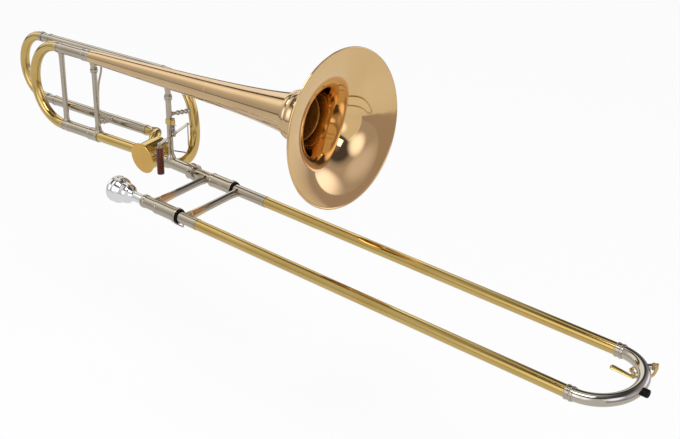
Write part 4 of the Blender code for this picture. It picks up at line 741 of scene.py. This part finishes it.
def braced(name, body, home, at, way, end, rear_flange, front_flange, knob, radius, replaced):
    """A brace: a flared foot at each end, a slim rod and a ribbed knob."""
    outline = [(0.004, rear_flange), (0.0090, rear_flange), (0.0098, rear_flange - 0.0006),
               (0.0112, rear_flange - 0.0006), (0.0135, radius + 0.0010), (0.0190, radius)]
    grow = 0.0060 - radius
    for offset, part in ((-0.0048, 0), (-0.0042, 0.65), (-0.0026, 0.75), (-0.0021, 0.35), (-0.0016, 1), (0.0016, 1),
                         (0.0021, 0.35), (0.0026, 0.75), (0.0042, 0.65), (0.0048, 0)):
        outline.append((knob + offset, radius + part * grow))
    outline += [(end - 0.0190, radius), (end - 0.0135, radius + 0.0010), (end - 0.0112, front_flange - 0.0006),
                (end - 0.0098, front_flange - 0.0006), (end - 0.0090, front_flange), (end - 0.004, front_flange)]
    outline.sort(key=lambda pair: pair[0])
    turned(name, outline, home, at, way, body, "nickel_silver", replaced, edge=0.0003)


class TROMBONE_OT_bell_braces(bpy.types.Operator):
    """The two upright braces between stem and neck and the two turned braces to the attachment"""

    bl_idname = "trombone.bell_braces"
    bl_label = "Bell section braces"

    def execute(self, context):
        radius = sizes().bell_brace
        braced("middle_post", "bell_section", BELL, Vector((-0.122, 0, 0)), Z, LIFT, 0.0062, 0.0062, 0.1065, radius,
               ["middle_brace"])
        braced("bell_post", "bell_section", BELL, Vector((0.0457, 0, -0.0040)), Z, LIFT + 0.0040, 0.0072, 0.0062,
               LIFT + 0.0040 - 0.0287, radius, ["bell_brace"])
        for name, start, end, node_name in (
            ("rear_cross_bar", Vector((-0.122, 0, 0.0215)), Vector((-0.122, F_SIDE, 0.0190)), "rear_f_brace"),
            ("front_cross_bar", Vector((0.0457, 0, 0.0725)), Vector((0.0627, F_SIDE, 0.0745)), "front_f_brace"),
        ):
            way = end - start
            outline = [(0.003, 0.0036), (0.0055, 0.0034), (0.0065, 0.0026)]
            for part in (0.36, 0.52, 0.68):
                middle = part * way.length
                outline += [(middle - 0.0024, 0.0024), (middle - 0.0012, 0.0036), (middle, 0.0039),
                            (middle + 0.0012, 0.0036), (middle + 0.0024, 0.0024)]
            outline += [(way.length - 0.0095, 0.0026), (way.length - 0.0085, 0.0034), (way.length - 0.006, 0.0038)]
            turned(name, outline, BELL, start, way.normalized(), "bell_section", "nickel_silver", [node_name])
        return {"FINISHED"}


class TROMBONE_OT_trigger(bpy.types.Operator):
    """The thumb trigger: bracket, pivot, spring, lever with its drop rod, and the wooden roller"""

    bl_idname = "trombone.trigger"
    bl_label = "Thumb trigger"

    def execute(self, context):
        dress("yellow_brass", "trigger_bracket")
        dress("dark_steel", "trigger_pivot", "trigger_spring")
        dress("nickel_silver", "trigger_lever")
        roller = Vector((0.071, -0.043, 0))
        outline = [(-0.0020, 0.0012), (-0.0020, 0.0038), (-0.0016, 0.00505), (-0.0004, 0.00525), (0.0359, 0.00525),
                   (0.0371, 0.00505), (0.0375, 0.0038), (0.0375, 0.0012)]
        turned("wooden_roller", outline, BELL, roller, Z, "roller", "rosewood", ["thumb_roller"], closed=True,
               edge=0.0005)
        return {"FINISHED"}


class TROMBONE_OT_barrels(bpy.types.Operator):
    """The cork barrels, their rings, the mouthpiece receiver, the knurled lock nut and the slide lock"""

    bl_idname = "trombone.barrels"
    bl_label = "Cork barrels and lock nut"

    def execute(self, context):
        size = sizes()
        barrel = size.barrel
        ring = size.barrel_ring
        hole = size.inner_tube + 0.0001
        outline = [(0.0120, hole), (0.0120, barrel - 0.0014), (0.0128, barrel - 0.0002), (0.0136, barrel),
                   (0.0165, barrel), (0.0170, barrel - 0.0003), (0.0510, barrel - 0.0003), (0.0510, 0.0093),
                   (0.0207, 0.0093), (0.0207, hole)]
        turned("near_barrel", outline, SLIDE, NEAR, X, "inner_slide", "nickel_silver", ["near_cork_barrel"], closed=True)
        outline = [(-0.0400, 0.0066), (-0.0400, 0.0076), (-0.0207, 0.0076), (-0.0207, 0.0079), (0.0112, 0.0079),
                   (0.0120, 0.0088), (0.0120, barrel - 0.0014), (0.0128, barrel - 0.0002), (0.0136, barrel),
                   (0.0165, barrel), (0.0170, barrel - 0.0003), (0.0506, barrel - 0.0003), (0.0508, ring - 0.0002),
                   (0.0515, ring), (0.0563, ring), (0.0570, ring - 0.0004), (0.0570, 0.0093), (0.0207, 0.0093),
                   (0.0207, 0.0066)]
        turned("far_barrel", outline, SLIDE, FAR, X, "inner_slide", "nickel_silver", ["far_cork_barrel"], closed=True)
        for name, at, node_name in (("near_rubber", NEAR, "near_bumper_ring"), ("far_rubber", FAR, "far_bumper_ring")):
            outline = [(0.0573, 0.0082), (0.0573, 0.0099), (0.0598, 0.0099), (0.0598, 0.0082)]
            turned(name, outline, SLIDE, at, X, "inner_slide", "black_rubber", [node_name], closed=True, edge=0.0006)
        outline = [(-0.0150, 0.0072), (-0.0150, 0.0086), (-0.0144, 0.0096), (-0.0092, 0.0096), (-0.0085, 0.0090),
                   (-0.0070, 0.0088), (0.0117, 0.0088), (0.0117, 0.0071)]
        turned("receiver_tube", outline, SLIDE, NEAR, X, "inner_slide", "nickel_silver", ["mouthpiece_receiver"],
               closed=True)
        nut = size.lock_nut
        outline = [(-0.0327, 0.0088), (-0.0327, nut - 0.0012), (-0.0321, nut), (-0.0307, nut), (-0.0303, nut - 0.0007),
                   (-0.0234, nut - 0.0007), (-0.0230, nut), (-0.0216, nut), (-0.0210, nut - 0.0012), (-0.0210, 0.0079)]
        turned("knurled_nut", outline, SLIDE, FAR, X, "lock_nut", "nickel_silver", ["bell_lock_nut"], closed=True,
               sides=2 * size.knurls, edge=0.0002, ridges=((-0.0323, -0.0305), (-0.0232, -0.0214)), depth=0.00035)
        lock = ring + 0.0002
        outline = [(0.0513, 0.0093), (0.0513, lock - 0.0004), (0.0519, lock), (0.0564, lock), (0.0570, lock - 0.0004),
                   (0.0570, 0.0093)]
        turned("lock_collar", outline, SLIDE, NEAR, X, "slide_lock", "nickel_silver", closed=True,
               sides=2 * size.knurls, edge=0.0002, ridges=((0.0522, 0.0561),), depth=0.00025)
        turn = Matrix.Rotation(math.radians(-25), 4, "X")
        hook = [Vector((0.0523, 0, -0.0113)), Vector((0.0680, 0, -0.0113)), Vector((0.0684, 0, -0.0105)),
                Vector((0.0684, 0, -0.0084))]
        mesh = swept("lock_hook", smooth_route(hook, 8), 0.0011, 16, 0.8)
        placed("lock_hook", mesh, SLIDE @ Matrix.Translation(NEAR) @ turn, "slide_lock", "nickel_silver",
               ["slide_lock_ring"])
        return {"FINISHED"}


class TROMBONE_OT_slide_tubes(bpy.types.Operator):
    """The inner tubes with their stockings, and the outer tubes with their rear sleeves"""

    bl_idname = "trombone.slide_tubes"
    bl_label = "Slide tubes"

    def execute(self, context):
        size = sizes()
        inner = size.inner_tube
        for side, at, rear, split in (("near", NEAR, 0.0018, 0.0945), ("far", FAR, -0.0191, 0.1208)):
            outline = [(rear, inner - 0.0004), (rear, inner - 0.0001), (0.6060, inner - 0.0001), (0.6080, inner),
                       (0.6760, inner), (0.6760, inner - 0.0004)]
            turned(f"{side}_stocking", outline, SLIDE, at, X, "inner_slide", "nickel_silver", [f"{side}_inner_tube"],
                   closed=True, edge=0.0002)
            sleeve = size.sleeve
            bore = size.inner_tube + 0.0002
            outline = [(0.0210, bore), (0.0210, sleeve + 0.0003), (0.0222, sleeve + 0.0003), (0.0226, sleeve),
                       (split - 0.0020, sleeve), (split - 0.0016, sleeve + 0.0002), (split, sleeve + 0.0002),
                       (split, bore)]
            nodes = [f"{side}_slide_sleeve"]
            turned(f"{side}_rear_sleeve", outline, SLIDE, at, X, "hand_slide", "nickel_silver", nodes, closed=True,
                   edge=0.0002)
            tube(f"{side}_long_tube", split, 0.6842, size.outer_tube, SLIDE, at, "hand_slide", "yellow_brass",
                 [f"{side}_outer_tube"], 0.0004)
        lug = [Vector((0.0632, -SPACING, -0.0088)), Vector((0.0668, -SPACING, -0.0088))]
        mesh = swept("lock_lug", lug, 0.0020, 24, 0.5)
        placed("lock_lug", mesh, SLIDE, "hand_slide", "yellow_brass")
        return {"FINISHED"}


class TROMBONE_OT_slide_braces(bpy.types.Operator):
    """The hand braces across the inner and the outer slide, each with its tapered feet"""

    bl_idname = "trombone.slide_braces"
    bl_label = "Slide braces"

    def execute(self, context):
        size = sizes()
        rod = size.slide_brace
        for name, x, near_side, far_side, body, node_name in (
            ("inner_hand_bar", 0.0030, 0.0088, 0.0079, "inner_slide", "inner_slide_brace"),
            ("outer_hand_bar", 0.0675, 0.0079, 0.0079, "hand_slide", "outer_slide_brace"),
        ):
            foot = 0.0068
            outline = [(near_side - 0.003, foot), (near_side + 0.0018, foot), (near_side + 0.0024, foot - 0.0006),
                       (near_side + 0.0034, foot - 0.0008), (near_side + 0.0180, rod), (near_side + 0.0190, rod + 0.0003),
                       (near_side + 0.0200, rod), (SPACING - far_side - 0.0140, rod),
                       (SPACING - far_side - 0.0060, rod + 0.0003), (SPACING - far_side - 0.0030, foot - 0.0006),
                       (SPACING - far_side - 0.0010, foot - 0.0004), (SPACING - far_side + 0.003, foot - 0.0004)]
            turned(name, outline, SLIDE, NEAR + x * X, Y, body, "nickel_silver", [node_name])
            start = near_side + 0.0036
            outline = [(start, foot - 0.0006), (start + 0.0004, foot - 0.0004), (start + 0.0160, rod + 0.0005),
                       (start + 0.0240, rod + 0.0003), (start + 0.0244, rod - 0.0002)]
            turned(name + "_foot", outline, SLIDE, NEAR + x * X, Y, body, "rose_brass.stem", edge=0.0002)
        return {"FINISHED"}


class TROMBONE_OT_bow(bpy.types.Operator):
    """The bow at the slide's end with its ferrules and rubber bumper"""

    bl_idname = "trombone.bow"
    bl_label = "Bow and bumper"

    def execute(self, context):
        size = sizes()
        centre = Vector((0.6870, -SPACING / 2, 0))
        bend = arc(centre, 0.0512 * X, SPACING / 2 * Y, 90, -90, 96)
        route = [bend[0] - 0.0027 * X] + bend + [bend[-1] - 0.0027 * X]
        mesh = swept("bow_tube", route, size.bow, size.sides)
        placed("bow_tube", mesh, SLIDE, "hand_slide", "silver_plate.bow", ["slide_bow"])
        for side, at in (("near", NEAR), ("far", FAR)):
            outline = [(0.6800, 0.0076), (0.6800, 0.0085), (0.6808, 0.0090), (0.6822, 0.0090), (0.6828, 0.0085),
                       (0.6866, 0.0085), (0.6872, 0.0091), (0.6884, 0.0091), (0.6890, 0.0086), (0.6905, 0.0084),
                       (0.6905, 0.0075)]
            turned(f"{side}_bow_band", outline, SLIDE, at, X, "hand_slide", "nickel_silver",
                   [f"{side}_bow_ferrule"], closed=True, edge=0.0003)
        rear = 0.7382
        end = FACE_X - rear
        stub = size.bumper
        outline = [(0.0052, stub), (end - 0.0008, stub), (end - 0.0002, stub - 0.0006), (end, stub - 0.0014),
                   (end, 0.0015), (end - 0.0008, 0.0010)]
        turned("bumper_stub", outline, SLIDE, Vector((rear, -SPACING / 2, 0)), X, "hand_slide", "black_rubber",
               ["rubber_bumper"])
        outline = [(0.0040, stub - 0.0008), (0.0068, stub - 0.0008), (0.0072, stub - 0.0012)]
        turned("bumper_cup", outline, SLIDE, Vector((rear, -SPACING / 2, 0)), X, "hand_slide", "black_rubber")
        return {"FINISHED"}


class TROMBONE_OT_water_key(bpy.types.Operator):
    """The water key's lever, pad, spring and saddle"""

    bl_idname = "trombone.water_key"
    bl_label = "Water key"

    def execute(self, context):
        dress("cork", "water_key_pad")
        dress("dark_steel", "water_key_spring")
        middle = -0.0037
        edge = 0.0177
        nose = edge + 0.0079
        low = -0.0036
        under = [(0.0, middle, -0.0016), (0.0012, middle, -0.0030), (0.0040, middle, low), (0.0100, middle, low),
                 (edge - 0.0020, middle, low), (edge + 0.0020, middle, low + 0.0004),
                 (edge + 0.0052, middle, low + 0.0034), (nose - 0.0002, middle, 0.0066), (nose, middle, 0.0104),
                 (nose, middle, 0.0138)]
        mesh = swept("key_arm", smooth_route([Vector(p) for p in under]), 0.0019, 24, 0.62, up=Y)
        placed("key_arm", mesh, KEY, "water_key", "yellow_brass", ["water_key_lever"])
        touch = [Vector(p) for p in ((0.0010, middle, -0.0030), (-0.0010, middle, -0.0036), (-0.0060, 0.0007, -0.0030),
                                     (-0.0120, 0.0059, -0.0022), (-0.0198, 0.0127, -0.0012),
                                     (-0.0217, 0.0144, -0.0010), (-0.0226, 0.0151, -0.0010))]
        widths = [0.0020, 0.0026, 0.0030, 0.0034, 0.0038, 0.0031, 0.0010]
        route = smooth_route(touch, 6)
        spread = [widths[min(i // 6, 5)] + (widths[min(i // 6 + 1, 6)] - widths[min(i // 6, 5)]) * (i % 6) / 6
                  for i in range(len(route) - 1)] + [widths[-1]]
        mesh = swept("key_touch", route, spread, 24, 0.36, up=Z)
        placed("key_touch", mesh, KEY, "water_key", "yellow_brass")
        turned("key_hub", [(-0.0050, 0.0024), (-0.0024, 0.0024)], KEY, (0, 0, 0), Y, "water_key", "yellow_brass")
        cup = edge + 0.0041
        outline = [(cup, 0.0046), (cup + 0.0010, 0.0047), (cup + 0.0022, 0.0040), (cup + 0.0032, 0.0024),
                   (nose + 0.0004, 0.0018), (nose + 0.0010, 0.0012)]
        turned("key_cup", outline, KEY, (0, middle, 0.0103), X, "water_key", "yellow_brass")
        for name, side in (("near_key_ear", -0.0059), ("far_key_ear", 0.0059)):
            turned(name, [(-0.0007, 0.0028), (0.0007, 0.0028)], KEY, (0, side, 0), Y, "hand_slide", "yellow_brass",
                   ["water_key_saddle"] if side < 0 else ())
            ear = [Vector((-0.0002, side, 0)), Vector((0.0012, side, 0.0022)), Vector((0.0040, side, 0.0046))]
            mesh = swept(name + "_root", smooth_route(ear), 0.0021, 20, 0.34, up=X)
            placed(name + "_root", mesh, KEY, "hand_slide", "yellow_brass")
        outline = [(-0.0078, 0.0014), (-0.0076, 0.0018), (-0.0067, 0.0018), (-0.0067, 0.0010), (0.0072, 0.0010)]
        turned("key_pin", outline, KEY, (0, 0, 0), Y, "hand_slide", "dark_steel", edge=0.0002)
        outline = [(edge - 0.006, 0.0034), (edge + 0.0010, 0.0034), (edge + 0.0018, 0.0032), (edge + 0.0022, 0.0030)]
        turned("water_nipple", outline, KEY, (0, middle, 0.0103), X, "hand_slide", "silver_plate.bow")
        return {"FINISHED"}


class TROMBONE_OT_mouthpiece(bpy.types.Operator):
    """The turned mouthpiece with its rim, cup and tapered shank"""

    bl_idname = "trombone.mouthpiece"
    bl_label = "Mouthpiece"

    def execute(self, context):
        size = sizes()
        back = -0.0775
        outline = [(0.0001, 0.0141), (0.0, 0.0150), (0.0006, 0.0172), (0.0022, 0.0187), (0.0044, 0.0193),
                   (0.0066, 0.0192), (0.0086, 0.0188), (0.0092, 0.0183), (0.0110, 0.0183), (0.0122, 0.0190),
                   (0.0146, 0.0188), (0.0172, 0.0178), (0.0196, 0.0163), (0.0214, 0.0152), (0.0228, 0.0146),
                   (0.0250, 0.0147), (0.0268, 0.0144), (0.0290, 0.0143), (0.0310, 0.0139), (0.0328, 0.0134),
                   (0.0350, 0.0118), (0.0372, 0.0101), (0.0395, 0.0086), (0.0420, 0.0076), (0.0450, 0.0070),
                   (0.0600, 0.0069), (0.0770, 0.0064), (0.0787, 0.0061), (0.0787, 0.0052), (0.0281, 0.0034)]
        cup = [(0.0240, 0.0036), (0.0225, 0.0052), (0.0200, 0.0080), (0.0160, 0.0104), (0.0110, 0.0118),
               (0.0060, 0.0126), (0.0025, 0.0130), (0.0008, 0.0135)]
        outline = [(back + along, radius) for along, radius in outline + cup]
        mesh = lathe("mouthpiece_shell", outline, size.bell_sides // 2, closed=True)
        placed("mouthpiece_shell", mesh, aimed(SLIDE, NEAR, X), "mouthpiece", "silver_plate", ["mouthpiece"])
        return {"FINISHED"}


# Studio

FLOOR_TO_CAMERA = 0.85
FLOOR_TO_METAL = 0.64
LAMP_LEVEL = 2.0
WARM_GREY = (1.0, 0.99, 0.97)
ROSE_GREY = (1.0, 0.95, 1.08)
WALL_SIDE = (-0.575, -0.818, 0.0)
WALL_TONE = 0.39
OVER_SLIDE = ((0.0, 0.10), (0.05, 0.10), (0.09, 0.60), (0.30, 0.64), (0.335, 0.58), (0.352, 0.03), (0.415, 0.03),
              (0.44, 0.45), (0.53, 0.70), (0.62, 0.66), (0.74, 0.40), (0.90, 0.30), (1.0, 0.29))
OVER_TUBES = ((0.0, 0.10), (0.05, 0.10), (0.09, 0.60), (0.30, 0.64), (0.335, 0.58), (0.352, 0.03), (0.43, 0.03),
              (0.47, 0.25), (0.62, 0.38), (0.80, 0.33), (1.0, 0.29))
OVER_BOW = ((0.0, 0.10), (0.08, 0.12), (0.14, 0.03), (0.31, 0.03), (0.36, 0.45), (0.44, 0.48), (0.50, 0.05),
            (0.68, 0.05), (0.75, 0.45), (0.80, 0.70), (0.88, 0.68), (1.0, 0.42))
BEFORE_BELL = ((0.0, 0.23), (0.30, 0.24), (0.52, 0.25), (0.66, 0.18), (0.78, 0.04), (0.94, 0.04), (1.0, 0.15))
BELL_LAMPS = (((0.81, -0.217, 0.545), 2.0, 25.0, 0.62), ((0.40, 0.91, 0.05), 2.0, 25.0, 0.58),
              ((0.896, 0.362, 0.259), 2.0, 22.0, 0.14), ((0.0, -0.85, 0.42), 8.0, 26.0, 0.45))


def panel(name, corners, material, shows_to_camera):
    shape = bmesh.new()
    shape.faces.new([shape.verts.new(corner) for corner in corners])
    mesh = bpy.data.meshes.new(name)
    shape.to_mesh(mesh)
    shape.free()
    mesh.materials.append(material)
    sheet = bpy.data.objects.new(name, mesh)
    bpy.context.scene.collection.objects.link(sheet)
    if not shows_to_camera:
        sheet.visible_camera = False
        sheet.visible_diffuse = False
        sheet.visible_shadow = False
        sheet.visible_transmission = False
    return sheet


def glow(name, colour):
    material = bpy.data.materials.new(name)
    material.use_nodes = True
    tree = material.node_tree
    tree.nodes.clear()
    out = tree.nodes.new("ShaderNodeOutputMaterial")
    light = node(tree, "ShaderNodeEmission", Color=(*colour, 1), Strength=1.0)
    tree.links.new(light.outputs["Emission"], out.inputs["Surface"])
    return material


def fading(name, colour):
    """A card whose tone starts as the floor's and darkens away from the object."""
    material = glow(name, colour)
    tree = material.node_tree
    coordinates = tree.nodes.new("ShaderNodeTexCoord")
    split = tree.nodes.new("ShaderNodeSeparateXYZ")
    tree.links.new(coordinates.outputs["Generated"], split.inputs["Vector"])
    ramp = tree.nodes.new("ShaderNodeValToRGB")
    ramp.color_ramp.elements[0].color = (0.82, 0.82, 0.82, 1)
    ramp.color_ramp.elements[1].position = 0.25
    ramp.color_ramp.elements[1].color = (*colour, 1)
    tree.links.new(split.outputs["Y"], ramp.inputs["Fac"])
    tree.links.new(ramp.outputs["Color"], tree.nodes["Emission"].inputs["Color"])
    return material


def pale_floor(colour):
    """A floor that the camera and the metal see as pale, and that still takes a soft shadow."""
    material = bpy.data.materials.new("studio_floor")
    material.use_nodes = True
    tree = material.node_tree
    tree.nodes.clear()
    out = tree.nodes.new("ShaderNodeOutputMaterial")
    path = tree.nodes.new("ShaderNodeLightPath")
    seen = tree.nodes.new("ShaderNodeMath")
    seen.operation = "MAXIMUM"
    tree.links.new(path.outputs["Is Camera Ray"], seen.inputs[0])
    tree.links.new(path.outputs["Is Glossy Ray"], seen.inputs[1])
    seen_too = tree.nodes.new("ShaderNodeMath")
    seen_too.operation = "MAXIMUM"
    tree.links.new(seen.outputs["Value"], seen_too.inputs[0])
    tree.links.new(path.outputs["Is Transmission Ray"], seen_too.inputs[1])
    matt = node(tree, "ShaderNodeBsdfDiffuse", Color=(*colour, 1))
    half = node(tree, "ShaderNodeBsdfDiffuse", Color=(0.22, 0.22, 0.22, 1))
    level = node(tree, "ShaderNodeMapRange", To_Min=FLOOR_TO_CAMERA, To_Max=FLOOR_TO_METAL)
    tree.links.new(path.outputs["Is Glossy Ray"], level.inputs["Value"])
    light = node(tree, "ShaderNodeEmission", Color=(*colour, 1))
    tree.links.new(level.outputs["Result"], light.inputs["Strength"])
    lit = tree.nodes.new("ShaderNodeAddShader")
    tree.links.new(half.outputs["BSDF"], lit.inputs[0])
    tree.links.new(light.outputs["Emission"], lit.inputs[1])
    mix = tree.nodes.new("ShaderNodeMixShader")
    tree.links.new(seen_too.outputs["Value"], mix.inputs["Fac"])
    tree.links.new(matt.outputs["BSDF"], mix.inputs[1])
    tree.links.new(lit.outputs["Shader"], mix.inputs[2])
    tree.links.new(mix.outputs["Shader"], out.inputs["Surface"])
    return material


def banded(tree, source, bands, tone):
    """Levels of a grey along the source: (place, level) pairs."""
    ramp = tree.nodes.new("ShaderNodeValToRGB")
    stops = ramp.color_ramp.elements
    while len(stops) < len(bands):
        stops.new(0.5)
    for stop, (place, level) in zip(stops, bands):
        stop.position = place
        stop.color = (*(level * part for part in tone), 1)
    tree.links.new(source.outputs[0], ramp.inputs["Fac"])
    return ramp


def blended(tree, split, stretch, rearward, forward):
    """One room over in another as the direction's X goes through the stretch."""
    side = node(tree, "ShaderNodeMapRange", From_Min=stretch[0], From_Max=stretch[1])
    tree.links.new(split.outputs["X"], side.inputs["Value"])
    mixed = tree.nodes.new("ShaderNodeMixRGB")
    tree.links.new(side.outputs["Result"], mixed.inputs["Fac"])
    tree.links.new(rearward.outputs["Color"], mixed.inputs["Color1"])
    tree.links.new(forward.outputs["Color"], mixed.inputs["Color2"])
    return mixed


def with_lamp(tree, coordinates, room, way, inner, outer, level):
    """The room with one more round soft lamp, whose edge fades between two angles in degrees."""
    near = tree.nodes.new("ShaderNodeVectorMath")
    near.operation = "DOT_PRODUCT"
    near.inputs[1].default_value = Vector(way).normalized()
    tree.links.new(coordinates.outputs["Generated"], near.inputs[0])
    fade = node(tree, "ShaderNodeMapRange", From_Min=math.cos(math.radians(outer)),
                From_Max=math.cos(math.radians(inner)), To_Max=level)
    fade.interpolation_type = "SMOOTHSTEP"
    tree.links.new(near.outputs["Value"], fade.inputs["Value"])
    added = tree.nodes.new("ShaderNodeMixRGB")
    added.blend_type = "ADD"
    added.inputs["Color2"].default_value = (0.95, 1.00, 1.25, 1)
    tree.links.new(room.outputs["Color"], added.inputs["Color1"])
    tree.links.new(fade.outputs["Result"], added.inputs["Fac"])
    return added


def with_wall(tree, coordinates, split, room):
    """The room with a pale wall on the camera's side, which ends along an upright edge and at a height."""
    side = tree.nodes.new("ShaderNodeVectorMath")
    side.operation = "DOT_PRODUCT"
    side.inputs[1].default_value = WALL_SIDE
    tree.links.new(coordinates.outputs["Generated"], side.inputs[0])
    share = node(tree, "ShaderNodeMapRange", From_Max=0.012)
    tree.links.new(side.outputs["Value"], share.inputs["Value"])
    for axis, start, end in (("X", 0.0, 0.12), ("Z", 0.78, 0.72)):
        within = node(tree, "ShaderNodeMapRange", From_Min=start, From_Max=end)
        tree.links.new(split.outputs[axis], within.inputs["Value"])
        both = tree.nodes.new("ShaderNodeMath")
        both.operation = "MULTIPLY"
        tree.links.new(share.outputs[0], both.inputs[0])
        tree.links.new(within.outputs["Result"], both.inputs[1])
        share = both
    walled = tree.nodes.new("ShaderNodeMixRGB")
    walled.inputs["Color2"].default_value = (WALL_TONE, WALL_TONE, WALL_TONE, 1)
    tree.links.new(share.outputs[0], walled.inputs["Fac"])
    tree.links.new(room.outputs["Color"], walled.inputs["Color1"])
    return walled


def studio_world():
    """White to the camera. To the metal it is a room of soft lamps: bands over the slide, a ring before the bell."""
    world = bpy.data.worlds.new("studio")
    bpy.context.scene.world = world
    world.use_nodes = True
    tree = world.node_tree
    tree.nodes.clear()
    out = tree.nodes.new("ShaderNodeOutputWorld")
    coordinates = tree.nodes.new("ShaderNodeTexCoord")
    split = tree.nodes.new("ShaderNodeSeparateXYZ")
    tree.links.new(coordinates.outputs["Generated"], split.inputs["Vector"])
    over = tree.nodes.new("ShaderNodeMath")
    over.operation = "ARCTAN2"
    tree.links.new(split.outputs["Z"], over.inputs[0])
    tree.links.new(split.outputs["Y"], over.inputs[1])
    turn = node(tree, "ShaderNodeMapRange", From_Max=math.pi)
    tree.links.new(over.outputs["Value"], turn.inputs["Value"])
    over_slide = banded(tree, turn, OVER_SLIDE, WARM_GREY)
    over_bow = banded(tree, turn, OVER_BOW, WARM_GREY)
    height = tree.nodes.new("ShaderNodeMapRange")
    tree.links.new(split.outputs["Z"], height.inputs["Value"])
    before = banded(tree, height, BEFORE_BELL, ROSE_GREY)
    over_tubes = banded(tree, turn, OVER_TUBES, WARM_GREY)
    room = blended(tree, split, (-0.66, -0.60), over_slide, over_tubes)
    room = blended(tree, split, (-0.52, -0.42), room, over_bow)
    room = blended(tree, split, (-0.25, 0.10), room, before)
    room = with_wall(tree, coordinates, split, room)
    for way, inner, outer, level in BELL_LAMPS:
        room = with_lamp(tree, coordinates, room, way, inner, outer, level)
    light = node(tree, "ShaderNodeBackground", Strength=LAMP_LEVEL)
    tree.links.new(room.outputs["Color"], light.inputs["Color"])
    white = node(tree, "ShaderNodeBackground", Color=(1, 1, 1, 1), Strength=1.0)
    path = tree.nodes.new("ShaderNodeLightPath")
    mix = tree.nodes.new("ShaderNodeMixShader")
    tree.links.new(path.outputs["Is Camera Ray"], mix.inputs["Fac"])
    tree.links.new(light.outputs["Background"], mix.inputs[1])
    tree.links.new(white.outputs["Background"], mix.inputs[2])
    tree.links.new(mix.outputs["Shader"], out.inputs["Surface"])


def softbox(name, at, towards, wide, tall, power):
    lamp = bpy.data.lights.new(name, "AREA")
    lamp.shape = "RECTANGLE"
    lamp.size = wide
    lamp.size_y = tall
    lamp.energy = power
    obj = bpy.data.objects.new(name, lamp)
    bpy.context.scene.collection.objects.link(obj)
    obj.location = at
    obj.rotation_euler = (Vector(towards) - Vector(at)).to_track_quat("-Z", "Y").to_euler()
    return obj


class TROMBONE_OT_stage(bpy.types.Operator):
    """The pale floor, the soft light, the cards that the metal reflects, and the camera"""

    bl_idname = "trombone.stage"
    bl_label = "Studio"

    def execute(self, context):
        studio = context.scene.trombone_studio
        scene = context.scene
        scene.view_settings.view_transform = "Standard"
        drop = -studio.floor_drop
        wide = 6.0
        panel("floor", [(-wide, -wide, drop), (wide, -wide, drop), (wide, wide, drop), (-wide, wide, drop)],
              pale_floor(studio.floor), True)
        low = drop + 0.01
        tone = glow("card_tone", studio.card)
        front = [(1.03, 1.01), (1.39, 0.56), (1.68, -0.51), (1.63, -1.45), (6, -4.53), (6, 6), (1.03, 6)]
        panel("front_card", [(x, y, low) for x, y in front], tone, False)
        panel("far_card", [(-6, 1.15, low), (1.03, 1.15, low), (1.03, 6, low), (-6, 6, low)],
              fading("far_card_tone", studio.card), False)
        studio_world()
        softbox("key_softbox", (-0.4, -0.6, 2.2), (-0.5, 0.0, 0.0), 1.3, 0.8, studio.key_power)
        camera = bpy.data.cameras.new("camera")
        camera.sensor_width = 36.0
        camera.lens = studio.lens
        view = bpy.data.objects.new("camera", camera)
        scene.collection.objects.link(view)
        right = Vector((0.75328, 0.65756, -0.01316))
        up = Vector((-0.30980, 0.37240, 0.87484))
        back = Vector((0.58016, -0.65493, 0.48423))
        turn = Matrix((right, up, back)).transposed().to_4x4()
        view.matrix_world = Matrix.Translation((1.27837 - FACE_X, SPACING / 2 - 1.15245, 0.87291)) @ turn
        scene.camera = view
        return {"FINISHED"}


PIECES = (
    TROMBONE_OT_stage, TROMBONE_OT_bell_flare, TROMBONE_OT_bell_stem, TROMBONE_OT_ferrules,
    TROMBONE_OT_tuning_slide, TROMBONE_OT_attachment, TROMBONE_OT_attachment_slide, TROMBONE_OT_neck,
    TROMBONE_OT_valve, TROMBONE_OT_bell_braces, TROMBONE_OT_trigger, TROMBONE_OT_barrels,
    TROMBONE_OT_slide_tubes, TROMBONE_OT_slide_braces, TROMBONE_OT_bow, TROMBONE_OT_water_key,
    TROMBONE_OT_mouthpiece,
)


class TROMBONE_PT_pieces(bpy.types.Panel):
    """Lists the settings and the pieces"""

    bl_idname = "TROMBONE_PT_pieces"
    bl_label = "Tenor trombone"
    bl_space_type = "VIEW_3D"
    bl_region_type = "UI"
    bl_category = "Trombone"

    def draw(self, context):
        for name, group in SETTINGS:
            box = self.layout.box()
            for setting in group.__annotations__:
                box.prop(getattr(context.scene, name), setting)
        for operator in PIECES:
            self.layout.operator(operator.bl_idname)


CLASSES = tuple(group for _, group in SETTINGS) + PIECES + (TROMBONE_PT_pieces,)


def register():
    for made in CLASSES:
        bpy.utils.register_class(made)
    for name, group in SETTINGS:
        setattr(bpy.types.Scene, name, PointerProperty(type=group))


def unregister():
    for name, _ in SETTINGS:
        delattr(bpy.types.Scene, name)
    for made in reversed(CLASSES):
        bpy.utils.unregister_class(made)


def main():
    register()
    for operator in PIECES:
        category, name = operator.bl_idname.split(".")
        getattr(getattr(bpy.ops, category), name)()


if __name__ == "__main__":
    main()
